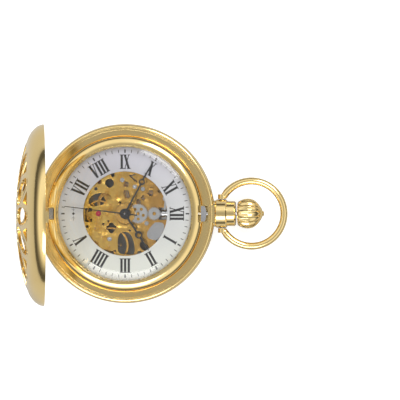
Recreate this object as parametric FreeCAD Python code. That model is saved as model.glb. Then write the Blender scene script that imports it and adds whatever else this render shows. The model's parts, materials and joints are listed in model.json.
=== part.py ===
import FreeCAD, Part
import math
import os

# A hunter-cased skeleton pocket watch, stored with its front lid open.
# Millimetres. Origin: centre of the back foot ring's resting face.
# +Z points out of the dial, +Y towards 12 o'clock and the pendant, +X towards 3 o'clock.

# ---- movement sizes that the case is built round ----
PLATE_R = 18.3           # main plate
RING_LAND = 1.4          # width of the movement ring outside the plate
RING_FIT = 0.1
RING_R = PLATE_R + RING_LAND
RING_LEDGE_R = PLATE_R - 0.7
DIAL_R = RING_R - 0.3
DIAL_HOLE_R = 11.8
DIAL_THICK = 0.4
STEM_Z = 6.15            # height of the winding stem
PLATE_Z0 = STEM_Z - 0.6
PLATE_Z1 = STEM_Z + 0.7
DIAL_Z = PLATE_Z1 + 0.9
BRIDGE_Z0 = 2.45
BRIDGE_Z1 = 3.45

# ---- case sizes ----
CASE_R = 25.0            # widest radius of the middle case
RIM_WIDTH = 1.6          # flat top of the case outside the step
STEP_WIDTH = 1.55        # sunk step between rim and bezel
RIM_Z = 9.0              # top plane of the case rim
LEDGE_DEPTH = 1.0
SEAT_DEPTH = 1.2
CASE_BOTTOM_Z = 2.2
BEZEL_GAP = 0.3          # shadow groove round the bezel
RIM_GROOVE = 0.2         # width and depth of the turned line on the rim
RIM_GROOVE_IN = 1.0
BEZEL_INNER_R = 18.6
BEZEL_RISE = 1.4         # bezel top above the case rim
BEZEL_LIFT = 0.1         # bezel lip above the dial
SKIRT_FIT = 0.05         # bezel lip inside the case bore
CRYSTAL_LIP = 0.45       # shelf in the bezel that the crystal sits on
CRYSTAL_DEPTH = 0.8
CRYSTAL_RISE = 1.1
CRYSTAL_THICK = 0.7
BACK_GLASS_R = 18.05
BACK_GLASS_Z = 0.7
BACK_GLASS_THICK = 0.6
FOOT_WALL = 1.25         # back rim between glass and foot ring
FOOT_WIDTH = 1.4
RIM_INNER_R = CASE_R - RIM_WIDTH
BEZEL_R = RIM_INNER_R - STEP_WIDTH
LEDGE_Z = RIM_Z - LEDGE_DEPTH
SEAT_Z = RIM_Z - SEAT_DEPTH
CASE_BORE_R = RING_R + RING_FIT
BEZEL_TOP_Z = RIM_Z + BEZEL_RISE
CRYSTAL_SEAT_R = BEZEL_INNER_R + CRYSTAL_LIP
CRYSTAL_SEAT_Z = BEZEL_TOP_Z - CRYSTAL_DEPTH
CRYSTAL_TOP_Z = BEZEL_TOP_Z + CRYSTAL_RISE
FOOT_R_IN = BACK_GLASS_R + FOOT_WALL
FOOT_R_OUT = FOOT_R_IN + FOOT_WIDTH
FAR = 200.0              # longer than any cut needs to be

# ---- lid ----
LID_INSET = 0.1          # lid edge inside the case edge
LID_RISE = 7.6           # dome height above the lid's own rim
LID_GAP = 0.15           # closed gap between lid rim and case rim
LID_WALL = 0.75
LID_OPEN_DEG = 82.0
BAND_WIDTH = 4.1         # plain band outside the pierced field
BAND_RISE = 4.4
MEDALLION_R = 5.0
PETALS = 12
PETAL_LAND = 1.7         # metal left between a petal and the band or medallion
PETAL_WEB = 2.17         # metal left between two petals at their middles
PETAL_EDGE = 0.4         # width of the raised edge round each petal
PETAL_EDGE_RISE = 0.08
DART_LAND = 1.6          # metal left between a dart and the band
DART_LENGTH = 3.8
DART_HALF_WIDE = 2.0
LID_R = CASE_R - LID_INSET
BAND_R = LID_R - BAND_WIDTH
PETAL_MID_R = (BAND_R + MEDALLION_R) / 2 + 0.3
PETAL_HALF_LONG = (BAND_R - MEDALLION_R) / 2 - PETAL_LAND
PETAL_HALF_WIDE = PETAL_MID_R * math.tan(math.pi / PETALS) - PETAL_WEB / 2
DART_OUTER_R = BAND_R - DART_LAND
DART_APEX_R = DART_OUTER_R - DART_LENGTH

# ---- lid hinge, lift spring and catch ----
HINGE_INSET = 2.0        # hinge axis inside the case edge
KNUCKLE_R = 0.8
HINGE_HALF = 9.1
LID_KNUCKLE_HALF = 3.0
HINGE_PIN_R = 0.35
HINGE_RUN = 0.07         # radial running gap of the lid's knuckle on the pin
KNUCKLE_CLEAR = 0.15
FLAT_INSET = 0.2         # flat on the case side, inside the hinge axis
HINGE_Y = HINGE_INSET - CASE_R
HINGE_Z = RIM_Z
FLAT_Y = HINGE_Y + FLAT_INSET
SPRING_HALF = 1.5
SPRING_ROOM = 0.2
CATCH_HALF = 2.1         # half the width of the catch head
CATCH_LONG = 1.5
CATCH_ROOM = 0.25
CATCH_Y = RIM_INNER_R - 0.6
CATCH_TOP_Z = RIM_Z - 0.15

# ---- pendant, crown and bow ----
STEM_R = 0.55
STEM_RUN = 0.06
PENDANT_STANDOFF = 0.2
PENDANT_FOOT_R = 3.95
PENDANT_FOOT_LONG = 3.2
PENDANT_NECK_IN = 0.5
PENDANT_NECK_LONG = 2.4
PENDANT_GAP = 0.6        # free gap between pendant and crown
TENON_R = 2.4
TENON_LONG = 1.5
SLEEVE_WALL = 0.58
SLEEVE_RUN = 0.1
SLEEVE_LONG = 2.2        # sleeve inside the case edge
CROWN_BORE_RUN = 0.07
CROWN_LENGTH = 7.3
CROWN_R = 4.2
CROWN_FLUTES = 18
CROWN_PRESS = 0.5
CROWN_BORE_DEPTH = 5.0
STEM_END_ROOM = 0.3
STEM_PULL = 0.9
BOW_RING_R = 9.1
BOW_WIRE_R = 1.0
BOW_EYE_R = 1.15
BOW_EYE_LONG = 1.3
BOW_EYE_GAP = 0.1
BOW_PIN_R = 0.5
BOW_RUN = 0.06
PIVOT_UP = 1.8           # bow pivot above the pendant's foot
BOW_DROP = 0.9           # the ring's circle falls this far below its pivots
PENDANT_START_Y = CASE_R + PENDANT_STANDOFF
PENDANT_STEP_Y = PENDANT_START_Y + PENDANT_FOOT_LONG
PENDANT_END_Y = PENDANT_STEP_Y + PENDANT_NECK_LONG
PENDANT_NECK_R = PENDANT_FOOT_R - PENDANT_NECK_IN
SLEEVE_R = STEM_R + CROWN_BORE_RUN + SLEEVE_WALL
SLEEVE_START_Y = PENDANT_START_Y - SLEEVE_LONG
CROWN_START_Y = PENDANT_END_Y + PENDANT_GAP
BOW_PIVOT_Y = PENDANT_START_Y + PIVOT_UP
BOW_CENTRE_Y = BOW_PIVOT_Y - BOW_DROP + BOW_RING_R

# ---- keyless works ----
CLUTCH_WALL = 0.45
STUD_R = 0.4
STUD_RUN = 0.03
LEVER_PIVOT = (2.9, 14.6)
YOKE_PIVOT = (-4.2, 11.3)
KEYLESS_Z = (PLATE_Z1 + 0.05, PLATE_Z1 + 0.35)
CLUTCH_RUN = 0.02
PINION_RUN = 0.01
CLUTCH_R = STEM_R + CLUTCH_RUN + CLUTCH_WALL

# ---- wheel train: teeth and modules ----
BARREL_TEETH = 72
CENTRE_PINION_TEETH = 12
BARREL_MODULE = 0.2
CENTRE_TEETH = 80
THIRD_PINION_TEETH = 10
CENTRE_MODULE = 0.11
THIRD_TEETH = 75
FOURTH_PINION_TEETH = 10
THIRD_MODULE = 0.1
FOURTH_TEETH = 80
ESCAPE_PINION_TEETH = 8
FOURTH_MODULE = 0.095
SWEEP_TEETH = 75
SWEEP_PINION_TEETH = 10
ESCAPE_TEETH = 15
ESCAPE_TIP_R = 2.4
CANNON_TEETH = 12
MINUTE_TEETH = 36
MOTION_MODULE = 0.15
MINUTE_PINION_TEETH = 10
HOUR_TEETH = 40
SETTING_TEETH = 24
RATCHET_TEETH = 38
CROWN_WHEEL_TEETH = 21
WINDING_MODULE = 0.3
DRUM_R = 6.0
ARBOR_R = 0.2
PIVOT_R = 0.1
PIVOT_RUN = 0.03
CENTRE_ARBOR_R = 0.5
CENTRE_RUN = 0.06
BALANCE_R = 5.2
BALANCE_RIM = 0.6
JEWEL_R = 0.75
JEWEL_Z = (6.0, 6.6)
BRIDGE_JEWEL_Z = (2.6, 3.2)
SETTING_R = 1.3
OIL_SINK_R = 0.32
SECONDS_ARBOR_R = 0.2
STONE_REACH = 2.3
HAIRSPRING_OUTER = 2.7
CANNON_R = 0.68
HOUR_PIPE_R = 0.95
MOTION_RUN = 0.06
SCREW_R = 0.6            # dial-side screw heads

# ---- where the arbors stand ----
CENTRE = (0.0, 0.0)
CROWN_WHEEL_Y = 10.4
FOURTH_Y = -7.6
BALANCE_AT = (9.0, -4.6)
ESCAPE_TO_PALLET = 3.0
PALLET_TO_BALANCE = 3.3

# ---- hands: clock angles at rest, in degrees clockwise from 12 ----
HOUR_ANGLE = 57.0
MINUTE_ANGLE = 298.5
SECONDS_ANGLE = 187.0
HOUR_LENGTH = 12.2
MINUTE_LENGTH = 16.6
SECONDS_LENGTH = 17.0

V = FreeCAD.Vector
UP = V(0, 0, 1)


# ---- small geometry helpers ----
def fuse(shapes):
    first = shapes[0]
    if len(shapes) == 1:
        return first
    return first.fuse(shapes[1:]).removeSplitter()


def cut(shape, tools):
    """Take the tools away one after another, because several may share space."""
    for tool in tools:
        shape = shape.cut(tool)
    return shape


def disc(at, radius, z0, z1):
    return Part.makeCylinder(radius, z1 - z0, V(at[0], at[1], z0), UP)


def ring(at, inner, outer, z0, z1):
    return disc(at, outer, z0, z1).cut(disc(at, inner, z0 - 1, z1 + 1))


def block(x0, x1, y0, y1, z0, z1):
    return Part.makeBox(x1 - x0, y1 - y0, z1 - z0, V(x0, y0, z0))


def prism(points, z0, z1):
    corners = [V(x, y, z0) for x, y in points]
    face = Part.Face(Part.makePolygon(corners + [corners[0]]))
    return face.extrude(V(0, 0, z1 - z0))


def bar(start, end, width, z0, z1):
    """A straight bar with rounded ends between two points."""
    dx = end[0] - start[0]
    dy = end[1] - start[1]
    length = math.hypot(dx, dy)
    across = (-dy / length * width / 2, dx / length * width / 2)
    corners = [(start[0] + across[0], start[1] + across[1]),
               (start[0] - across[0], start[1] - across[1]),
               (end[0] - across[0], end[1] - across[1]),
               (end[0] + across[0], end[1] + across[1])]
    middle = prism(corners, z0, z1)
    return fuse([middle, disc(start, width / 2, z0, z1), disc(end, width / 2, z0, z1)])


def face_of(runs):
    """A closed face in the XZ plane from runs of (r, z) points; a smooth run is one curve."""
    edges = []
    start = None
    last = None
    for smooth, points in runs:
        vectors = [V(r, 0, z) for r, z in points]
        if last is not None and (last - vectors[0]).Length > 1e-6:
            edges.append(Part.makeLine(last, vectors[0]))
        if start is None:
            start = vectors[0]
        if smooth:
            curve = Part.BSplineCurve()
            curve.interpolate(vectors)
            edges.append(curve.toShape())
        else:
            for one, two in zip(vectors, vectors[1:]):
                edges.append(Part.makeLine(one, two))
        last = vectors[-1]
    if (last - start).Length > 1e-6:
        edges.append(Part.makeLine(last, start))
    return Part.Face(Part.Wire(edges))


def spun(runs, at=(0.0, 0.0)):
    """A solid turned about an upright axis."""
    solid = face_of(runs).revolve(V(0, 0, 0), UP, 360)
    solid.translate(V(at[0], at[1], 0))
    return solid


def turned(points, at=(0.0, 0.0)):
    return spun([(False, points)], at)


def along_stem(shape):
    """Lay a shape built up the Z axis along +Y at the stem's height."""
    shape.rotate(V(0, 0, 0), V(1, 0, 0), -90)
    shape.translate(V(0, 0, STEM_Z))
    return shape


def spin_copies(shape, count, at=(0.0, 0.0)):
    copies = []
    for index in range(count):
        piece = shape.copy()
        piece.rotate(V(at[0], at[1], 0), UP, 360.0 / count * index)
        copies.append(piece)
    return copies


def towards(start, end, distance):
    """The point a given distance from start on the way to end."""
    span = math.hypot(end[0] - start[0], end[1] - start[1])
    return (start[0] + (end[0] - start[0]) * distance / span,
            start[1] + (end[1] - start[1]) * distance / span)


def clock_point(angle, radius):
    turn = math.radians(angle)
    return (radius * math.sin(turn), radius * math.cos(turn))


def heading(start, end):
    return math.degrees(math.atan2(end[1] - start[1], end[0] - start[0]))


def meet(a, ra, b, rb, side):
    """One crossing of two circles; side +1 lies left of the way from a to b."""
    span = math.hypot(b[0] - a[0], b[1] - a[1])
    along = (ra ** 2 - rb ** 2 + span ** 2) / (2 * span)
    off = math.sqrt(ra ** 2 - along ** 2) * side
    ux = (b[0] - a[0]) / span
    uy = (b[1] - a[1]) / span
    return (a[0] + ux * along - uy * off, a[1] + uy * along + ux * off)


# ---- gears ----
def pitch_r(teeth, module):
    return teeth * module / 2


def mesh_span(teeth_a, teeth_b, module):
    return (teeth_a + teeth_b) * module / 2


def toothed_disc(at, teeth, module, z0, z1, phase):
    """A disc with straight-sided teeth; phase is the direction of one tooth in degrees."""
    root = pitch_r(teeth, module) - 1.2 * module
    tip = pitch_r(teeth, module) + 0.9 * module
    pitch = 2 * math.pi / teeth
    points = []
    for index in range(teeth):
        middle = math.radians(phase) + index * pitch
        for radius, part in ((root, -0.24), (tip, -0.1), (tip, 0.1), (root, 0.24)):
            angle = middle + part * pitch
            points.append((at[0] + radius * math.cos(angle), at[1] + radius * math.sin(angle)))
    return prism(points, z0, z1)


def mesh_phase(phase_a, teeth_a, at_a, teeth_b, at_b):
    """Phase of gear b so that its gap faces gear a's tooth."""
    direction = heading(at_a, at_b)
    pitch_a = 360.0 / teeth_a
    pitch_b = 360.0 / teeth_b
    share = (direction - phase_a) / pitch_a
    return direction + 180 - pitch_b * (0.5 - share)


def crossed_wheel(at, teeth, module, z0, z1, phase, hub_r, spokes, spoke_w):
    """A toothed rim on spokes round a hub."""
    blank = toothed_disc(at, teeth, module, z0, z1, phase)
    rim_r = pitch_r(teeth, module) - 1.2 * module - 0.45
    hollow = ring(at, hub_r, rim_r, z0 - 0.1, z1 + 0.1)
    arms = []
    for index in range(spokes):
        angle = math.radians(phase + 360.0 / spokes * index)
        end = (at[0] + (rim_r + 0.1) * math.cos(angle), at[1] + (rim_r + 0.1) * math.sin(angle))
        arms.append(bar(at, end, spoke_w, z0 - 0.2, z1 + 0.2))
    return cut(blank, [cut(hollow, arms)])


def arbor(at, radius, z0, z1, pivot_z0, pivot_z1):
    """A staff with a thin pivot at each end."""
    return fuse([disc(at, radius, z0, z1), disc(at, PIVOT_R, pivot_z0, pivot_z1)])


def slotted_screw(at, head_r, head_z0, head_z1, shank_r, end_z):
    """A screw put in from the back, with its slotted head at the bottom."""
    body = fuse([disc(at, head_r, head_z0, head_z1), disc(at, shank_r, head_z1 - 0.05, end_z)])
    slot = block(at[0] - head_r - 0.1, at[0] + head_r + 0.1, at[1] - 0.1, at[1] + 0.1,
                 head_z0 - 0.1, head_z0 + 0.15)
    return cut(body, [slot])


# ---- arbor positions worked out from the gears ----
BARREL_SPAN = mesh_span(BARREL_TEETH, CENTRE_PINION_TEETH, BARREL_MODULE)
RATCHET_SPAN = mesh_span(RATCHET_TEETH, CROWN_WHEEL_TEETH, WINDING_MODULE)
THIRD_SPAN = mesh_span(CENTRE_TEETH, THIRD_PINION_TEETH, CENTRE_MODULE)
FOURTH_SPAN = mesh_span(THIRD_TEETH, FOURTH_PINION_TEETH, THIRD_MODULE)
ESCAPE_SPAN = mesh_span(FOURTH_TEETH, ESCAPE_PINION_TEETH, FOURTH_MODULE)
SWEEP_MODULE = 2 * THIRD_SPAN / (SWEEP_TEETH + SWEEP_PINION_TEETH)
MINUTE_SPAN = mesh_span(CANNON_TEETH, MINUTE_TEETH, MOTION_MODULE)
HOUR_MODULE = 2 * MINUTE_SPAN / (MINUTE_PINION_TEETH + HOUR_TEETH)
SETTING_SPAN = mesh_span(MINUTE_TEETH, SETTING_TEETH, MOTION_MODULE)

CROWN_WHEEL = (0.0, CROWN_WHEEL_Y)
BARREL = meet(CENTRE, BARREL_SPAN, CROWN_WHEEL, RATCHET_SPAN, 1)
FOURTH = (0.0, FOURTH_Y)
THIRD = meet(CENTRE, THIRD_SPAN, FOURTH, FOURTH_SPAN, -1)
PALLET_REACH = ESCAPE_TO_PALLET + PALLET_TO_BALANCE
ESCAPE = meet(FOURTH, ESCAPE_SPAN, BALANCE_AT, PALLET_REACH, -1)
PALLET = towards(ESCAPE, BALANCE_AT, ESCAPE_TO_PALLET)
MINUTE = (0.0, MINUTE_SPAN)
SETTING = (0.0, MINUTE_SPAN + SETTING_SPAN)
JEWELLED = (THIRD, FOURTH, ESCAPE, PALLET, BALANCE_AT)
DIAL_SIDE_SCREWS = ((7.1, -4.5), (-7.5, 2.6), (2.7, 5.9), (-9.4, -0.9), (0.0, -2.4))

BARREL_FEET = ((-14.3, -2.2), (-3.4, 15.1), (5.63, 13.45))
TRAIN_FEET = ((-11.2, -8.6), (1.5, -15.0), (5.5, 3.0))
KEEPER_END = (3.78, 12.45)
COCK_FOOT = towards(CENTRE, BALANCE_AT, 16.45)
PALLET_FOOT = (10.6, -11.2)
CLICK_PIVOT = towards(BARREL, BARREL_FEET[0], 8.35)
CLAMP_ANGLES = (65.0, 165.0, 270.0)
CLAMP_SCREW_R = 16.95

# ---- levels of the rotating parts ----
RATCHET_Z = (2.0, 2.4)
SWEEP_Z = (1.75, 1.92)
BARREL_Z = (3.6, 5.1)
BARREL_TEETH_Z = (4.7, 4.95)
CENTRE_PINION_Z = (4.55, 5.22)
CENTRE_WHEEL_Z = (5.22, 5.4)
THIRD_PINION_Z = (4.95, 5.45)
THIRD_WHEEL_Z = (4.0, 4.15)
FOURTH_PINION_Z = (3.9, 4.3)
FOURTH_WHEEL_Z = (4.45, 4.6)
ESCAPE_PINION_Z = (4.35, 4.75)
ESCAPE_WHEEL_Z = (4.85, 4.97)
PALLET_Z = (4.82, 5.04)
PALLET_BRIDGE_Z = (4.25, 4.6)
BALANCE_Z = (3.5, 4.1)
BALANCE_ARM_Z = (3.72, 3.88)
HAIRSPRING_Z = (3.5, 3.64)
COCK_Z = (2.45, 3.35)
MOTION_WHEEL_Z = (7.3, 7.5)
HOUR_WHEEL_Z = (7.55, 7.7)
HOUR_HAND_Z = (8.45, 8.65)
MINUTE_HAND_Z = (8.95, 9.1)
SECONDS_HAND_Z = (9.35, 9.5)
CROWN_CUP_TOP = 4.6


# ---- case ----
def case_hull():
    """Everything inside the middle case's outer surface."""
    outside = [(CASE_R - 1.5, CASE_BOTTOM_Z), (CASE_R - 0.75, CASE_BOTTOM_Z + 1.3),
               (CASE_R - 0.12, CASE_BOTTOM_Z + 3.2), (CASE_R, CASE_BOTTOM_Z + 4.6),
               (CASE_R - 0.12, RIM_Z - 0.75), (CASE_R - 0.4, RIM_Z - 0.2), (CASE_R - 0.85, RIM_Z)]
    return spun([(False, [(0, RIM_Z), (0, CASE_BOTTOM_Z)]), (True, outside)])


def hinge_knuckle(x0, x1, radius):
    return Part.makeCylinder(radius, x1 - x0, V(x0, HINGE_Y, HINGE_Z), V(1, 0, 0))


def case_knuckle(side):
    inner = LID_KNUCKLE_HALF + KNUCKLE_CLEAR
    if side > 0:
        return hinge_knuckle(inner, HINGE_HALF, KNUCKLE_R)
    return hinge_knuckle(-HINGE_HALF, -inner, KNUCKLE_R)


def middle_case():
    bore = disc(CENTRE, CASE_BORE_R, -1, RIM_Z + 1)
    seat = disc(CENTRE, BEZEL_R + BEZEL_GAP, SEAT_Z, RIM_Z + 1)
    step = disc(CENTRE, RIM_INNER_R, LEDGE_Z, RIM_Z + 1)
    flat = block(-FAR, FAR, -FAR, FLAT_Y, -1, FAR)
    body = cut(case_hull(), [bore, seat, step, flat])
    body = fuse([body, case_knuckle(-1), case_knuckle(1)])
    reach = LID_KNUCKLE_HALF + KNUCKLE_CLEAR
    lid_room = hinge_knuckle(-reach, reach, KNUCKLE_R + KNUCKLE_CLEAR)
    pin_hole = hinge_knuckle(-HINGE_HALF, HINGE_HALF, HINGE_PIN_R)
    half = CATCH_HALF + CATCH_ROOM
    catch_room = block(-half, half, CATCH_Y - CATCH_LONG - CROWN_PRESS - CATCH_ROOM, CATCH_Y + 0.3,
                       STEM_Z - 1.95, RIM_Z + 1)
    catch_room = catch_room.common(disc(CENTRE, RIM_INNER_R, 0, RIM_Z + 1))
    strike_room = block(-CATCH_HALF + 0.3, CATCH_HALF - 0.3, CATCH_Y, CATCH_Y + 0.75, RIM_Z - 1.0,
                        RIM_Z + 1)
    tenon_hole = along_stem(disc(CENTRE, TENON_R, PENDANT_START_Y - TENON_LONG, CASE_R + 5))
    sleeve_hole = along_stem(disc(CENTRE, SLEEVE_R + SLEEVE_RUN, CATCH_Y, CASE_R))
    stem_hole = along_stem(disc(CENTRE, STEM_R + 0.1, CASE_BORE_R - 1, CASE_R))
    line_r = CASE_R - RIM_GROOVE_IN
    line = ring(CENTRE, line_r - RIM_GROOVE, line_r, RIM_Z - RIM_GROOVE, RIM_Z + 1)
    return cut(body, [line, lid_room, pin_hole, catch_room, strike_room, tenon_hole, sleeve_hole, stem_hole,
                      spring_pocket()])


def spring_pocket():
    """Groove at 6 o'clock for the lift spring, open upwards."""
    half = SPRING_HALF + SPRING_ROOM
    return block(-half, half, HINGE_Y + 1.3, HINGE_Y + 4.0, RIM_Z - 2.1, RIM_Z + 1)


def lid_lift_spring():
    """A short flat leaf whose tip shows between bezel and hinge."""
    near = HINGE_Y + 1.7
    leaf = block(-SPRING_HALF, SPRING_HALF, near, near + 0.5, RIM_Z - 2.05, RIM_Z - 0.4)
    tip = block(-SPRING_HALF + 0.05, SPRING_HALF - 0.05, near, near + 1.2, RIM_Z - 0.4, RIM_Z - 0.15)
    foot = block(-SPRING_HALF, SPRING_HALF, near, near + 1.4, RIM_Z - 2.1, RIM_Z - 1.85)
    return fuse([leaf, tip, foot])


def lid_hinge_pin():
    return hinge_knuckle(-HINGE_HALF, HINGE_HALF, HINGE_PIN_R)


def lid_shell_solid(radius, rim_z, rise, band_r, band_rise):
    """The filled dome under one lid surface, on the closed case."""
    band = [(radius, rim_z), (radius - 0.2, rim_z + 0.22 * band_rise),
            (radius - 1.0, rim_z + 0.53 * band_rise), (radius - 2.4, rim_z + 0.81 * band_rise),
            (band_r, rim_z + band_rise)]
    left = rise - band_rise
    field = [(band_r, rim_z + band_rise), (band_r * 0.85, rim_z + band_rise + 0.32 * left),
             (band_r * 0.65, rim_z + band_rise + 0.62 * left),
             (band_r * 0.35, rim_z + band_rise + 0.89 * left), (0, rim_z + rise)]
    return spun([(True, band), (True, field), (False, [(0, rim_z)])])


def petal(half_long, half_wide, z0, z1):
    """An upright elliptical prism centred on 12 o'clock of the pierced field."""
    ellipse = Part.Ellipse(V(0, 0, 0), half_long, half_wide).toShape()
    solid = Part.Face(Part.Wire([ellipse])).extrude(V(0, 0, z1 - z0))
    solid.rotate(V(0, 0, 0), UP, 90)
    solid.translate(V(0, PETAL_MID_R, z0))
    return solid


def dart():
    """A small triangular hole between two petals."""
    half = 180.0 / PETALS
    left = clock_point(half - math.degrees(DART_HALF_WIDE / DART_OUTER_R), DART_OUTER_R)
    middle = clock_point(half, DART_OUTER_R + 0.1)
    right = clock_point(half + math.degrees(DART_HALF_WIDE / DART_OUTER_R), DART_OUTER_R)
    return prism([left, clock_point(half, DART_APEX_R), right, middle], RIM_Z, RIM_Z + FAR)


def lid_blank():
    rim_z = RIM_Z + LID_GAP
    outer = lid_shell_solid(LID_R, rim_z, LID_RISE, BAND_R, BAND_RISE)
    inner = lid_shell_solid(LID_R - LID_WALL - 0.05, rim_z - 0.01, LID_RISE - LID_WALL,
                            BAND_R - 0.35, BAND_RISE - 0.7)
    y_cut = HINGE_Y - 0.55
    outer = cut(outer, [block(-FAR, FAR, -FAR, y_cut, -1, FAR)])
    inner = cut(inner, [block(-FAR, FAR, -FAR, y_cut + 0.8, -1, FAR)])
    return cut(outer, [inner])


def raised_edges():
    """Narrow beads that follow the dome round every petal."""
    rim_z = RIM_Z + LID_GAP
    top = lid_shell_solid(LID_R, rim_z, LID_RISE + PETAL_EDGE_RISE, BAND_R,
                          BAND_RISE + PETAL_EDGE_RISE)
    low = lid_shell_solid(LID_R, rim_z, LID_RISE - 0.3, BAND_R, BAND_RISE - 0.3)
    skin = cut(top, [low])
    collar = petal(PETAL_HALF_LONG + PETAL_EDGE, PETAL_HALF_WIDE + PETAL_EDGE, RIM_Z, RIM_Z + FAR)
    medallion = ring(CENTRE, MEDALLION_R - 0.5, MEDALLION_R, RIM_Z, RIM_Z + FAR)
    return skin.common(fuse(spin_copies(collar, PETALS) + [medallion]))


def lid_strike():
    """The little tab the catch holds when the lid is shut."""
    half = CATCH_HALF - 0.6
    leg = block(-half, half, CATCH_Y + 0.15, CATCH_Y + 0.5, RIM_Z - 0.65, RIM_Z + 1.0)
    root = block(-half, half, CATCH_Y + 0.15, CATCH_Y + 1.5, RIM_Z + LID_GAP + 0.15, RIM_Z + 1.0)
    return fuse([leg, root])


def front_lid():
    body = fuse([lid_blank(), raised_edges()])
    petals = spin_copies(petal(PETAL_HALF_LONG, PETAL_HALF_WIDE, RIM_Z, RIM_Z + FAR), PETALS)
    body = cut(body, petals + spin_copies(dart(), PETALS))
    body = fuse([body, lid_strike(), hinge_knuckle(-LID_KNUCKLE_HALF, LID_KNUCKLE_HALF, KNUCKLE_R)])
    room = KNUCKLE_R + KNUCKLE_CLEAR
    left = hinge_knuckle(-HINGE_HALF - KNUCKLE_CLEAR, -LID_KNUCKLE_HALF, room)
    right = hinge_knuckle(LID_KNUCKLE_HALF, HINGE_HALF + KNUCKLE_CLEAR, room)
    pin_hole = hinge_knuckle(-HINGE_HALF, HINGE_HALF, HINGE_PIN_R + HINGE_RUN)
    body = cut(body, [left, right, pin_hole])
    body.rotate(V(0, HINGE_Y, HINGE_Z), V(1, 0, 0), LID_OPEN_DEG)
    return body


def lid_catch():
    """Steel hook at 12 o'clock on a forked leg that straddles the stem."""
    curve_r = 5.0
    arc = disc((0, CATCH_Y - curve_r), curve_r, LEDGE_Z + 0.15, CATCH_TOP_Z)
    head = block(-CATCH_HALF, CATCH_HALF, CATCH_Y - CATCH_LONG, CATCH_Y, LEDGE_Z + 0.15,
                 CATCH_TOP_Z).common(arc)
    leg = block(-CATCH_HALF + 0.3, CATCH_HALF - 0.3, CATCH_Y - 1.1, CATCH_Y - 0.3, STEM_Z - 1.65,
                LEDGE_Z + 0.2)
    stem_room = along_stem(disc(CENTRE, STEM_R + 0.2, CATCH_Y - 3, CATCH_Y + 1))
    return cut(fuse([head, leg]), [stem_room])


def front_bezel():
    lip_z = DIAL_Z + DIAL_THICK + BEZEL_LIFT
    lip_r = CASE_BORE_R - SKIRT_FIT
    inside = [(lip_r, lip_z), (lip_r, SEAT_Z), (BEZEL_R, SEAT_Z)]
    slope = [(BEZEL_R, BEZEL_TOP_Z - 1.9), (BEZEL_R - 0.2, BEZEL_TOP_Z - 1.25),
             (BEZEL_R - 0.75, BEZEL_TOP_Z - 0.6),
             (BEZEL_R - 1.6, BEZEL_TOP_Z - 0.15), (CRYSTAL_SEAT_R, BEZEL_TOP_Z)]
    seat = [(CRYSTAL_SEAT_R, CRYSTAL_SEAT_Z), (BEZEL_INNER_R, CRYSTAL_SEAT_Z), (BEZEL_INNER_R, lip_z)]
    body = spun([(False, inside), (True, slope), (False, seat)])
    half = CATCH_HALF + CATCH_ROOM
    catch_notch = block(-half, half, CATCH_Y - CATCH_LONG - CROWN_PRESS - CATCH_ROOM, FAR, -1, FAR)
    half = SPRING_HALF + SPRING_ROOM + 0.1
    spring_notch = block(-half, half, -FAR, HINGE_Y + 3.3, -1, FAR)
    return cut(body, [catch_notch, spring_notch])


def front_crystal():
    """A domed glass: the same curve inside and outside, one thickness apart."""
    drop = CRYSTAL_TOP_Z - CRYSTAL_SEAT_Z
    shares = ((0.89, 0.6), (0.63, 0.84), (0.315, 0.96), (0.0, 1.0))
    outside = [(CRYSTAL_SEAT_R, CRYSTAL_SEAT_Z + 0.5)]
    outside += [(CRYSTAL_SEAT_R * r, CRYSTAL_SEAT_Z + share * drop) for r, share in shares]
    inside = [(r, z - CRYSTAL_THICK) for r, z in reversed(outside[1:])]
    inside.append((CRYSTAL_SEAT_R - 0.75, CRYSTAL_SEAT_Z))
    seat = [(CRYSTAL_SEAT_R - 0.75, CRYSTAL_SEAT_Z), (CRYSTAL_SEAT_R, CRYSTAL_SEAT_Z)]
    return spun([(False, seat), (True, outside), (True, inside)])


def rear_bezel():
    lip_z = BACK_GLASS_Z
    glass_top = BACK_GLASS_Z + BACK_GLASS_THICK
    inside = [(BACK_GLASS_R - 0.7, lip_z - 0.3), (BACK_GLASS_R - 0.7, lip_z), (BACK_GLASS_R, lip_z),
              (BACK_GLASS_R, glass_top + 0.15), (BACK_GLASS_R + 0.55, glass_top + 0.15),
              (BACK_GLASS_R + 0.55, CASE_BOTTOM_Z + 1.2), (CASE_BORE_R, CASE_BOTTOM_Z + 1.2),
              (CASE_BORE_R, CASE_BOTTOM_Z)]
    outside = [(CASE_R - 1.5, CASE_BOTTOM_Z), (CASE_R - 2.5, CASE_BOTTOM_Z / 2),
               (CASE_R - 3.5, CASE_BOTTOM_Z / 5), (FOOT_R_OUT, 0)]
    return spun([(False, inside), (True, outside), (False, [(FOOT_R_IN, 0)])])


def rear_crystal():
    return disc(CENTRE, BACK_GLASS_R, BACK_GLASS_Z, BACK_GLASS_Z + BACK_GLASS_THICK)


def movement_ring():
    points = [(RING_LEDGE_R, PLATE_Z0 - 0.65), (RING_R, PLATE_Z0 - 0.65), (RING_R, DIAL_Z),
              (PLATE_R, DIAL_Z),
              (PLATE_R, PLATE_Z0), (RING_LEDGE_R, PLATE_Z0)]
    stem_hole = along_stem(disc(CENTRE, STEM_R + 0.2, RING_LEDGE_R - 1, RING_R + 1))
    return cut(turned(points), [stem_hole])


def clamp_screw_at(angle):
    return clock_point(angle, CLAMP_SCREW_R)


def case_clamps():
    clamps = []
    for angle in CLAMP_ANGLES:
        inner = clamp_screw_at(angle)
        outer = clock_point(angle, RING_R - 1.2)
        plate = bar(inner, outer, 1.6, 4.6, 4.9)
        spacer = disc(inner, 0.6, 4.9, PLATE_Z0)
        clamps.append(cut(fuse([plate, spacer]), [disc(inner, 0.4, 4, 6)]))
    return Part.makeCompound(clamps)


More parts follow.
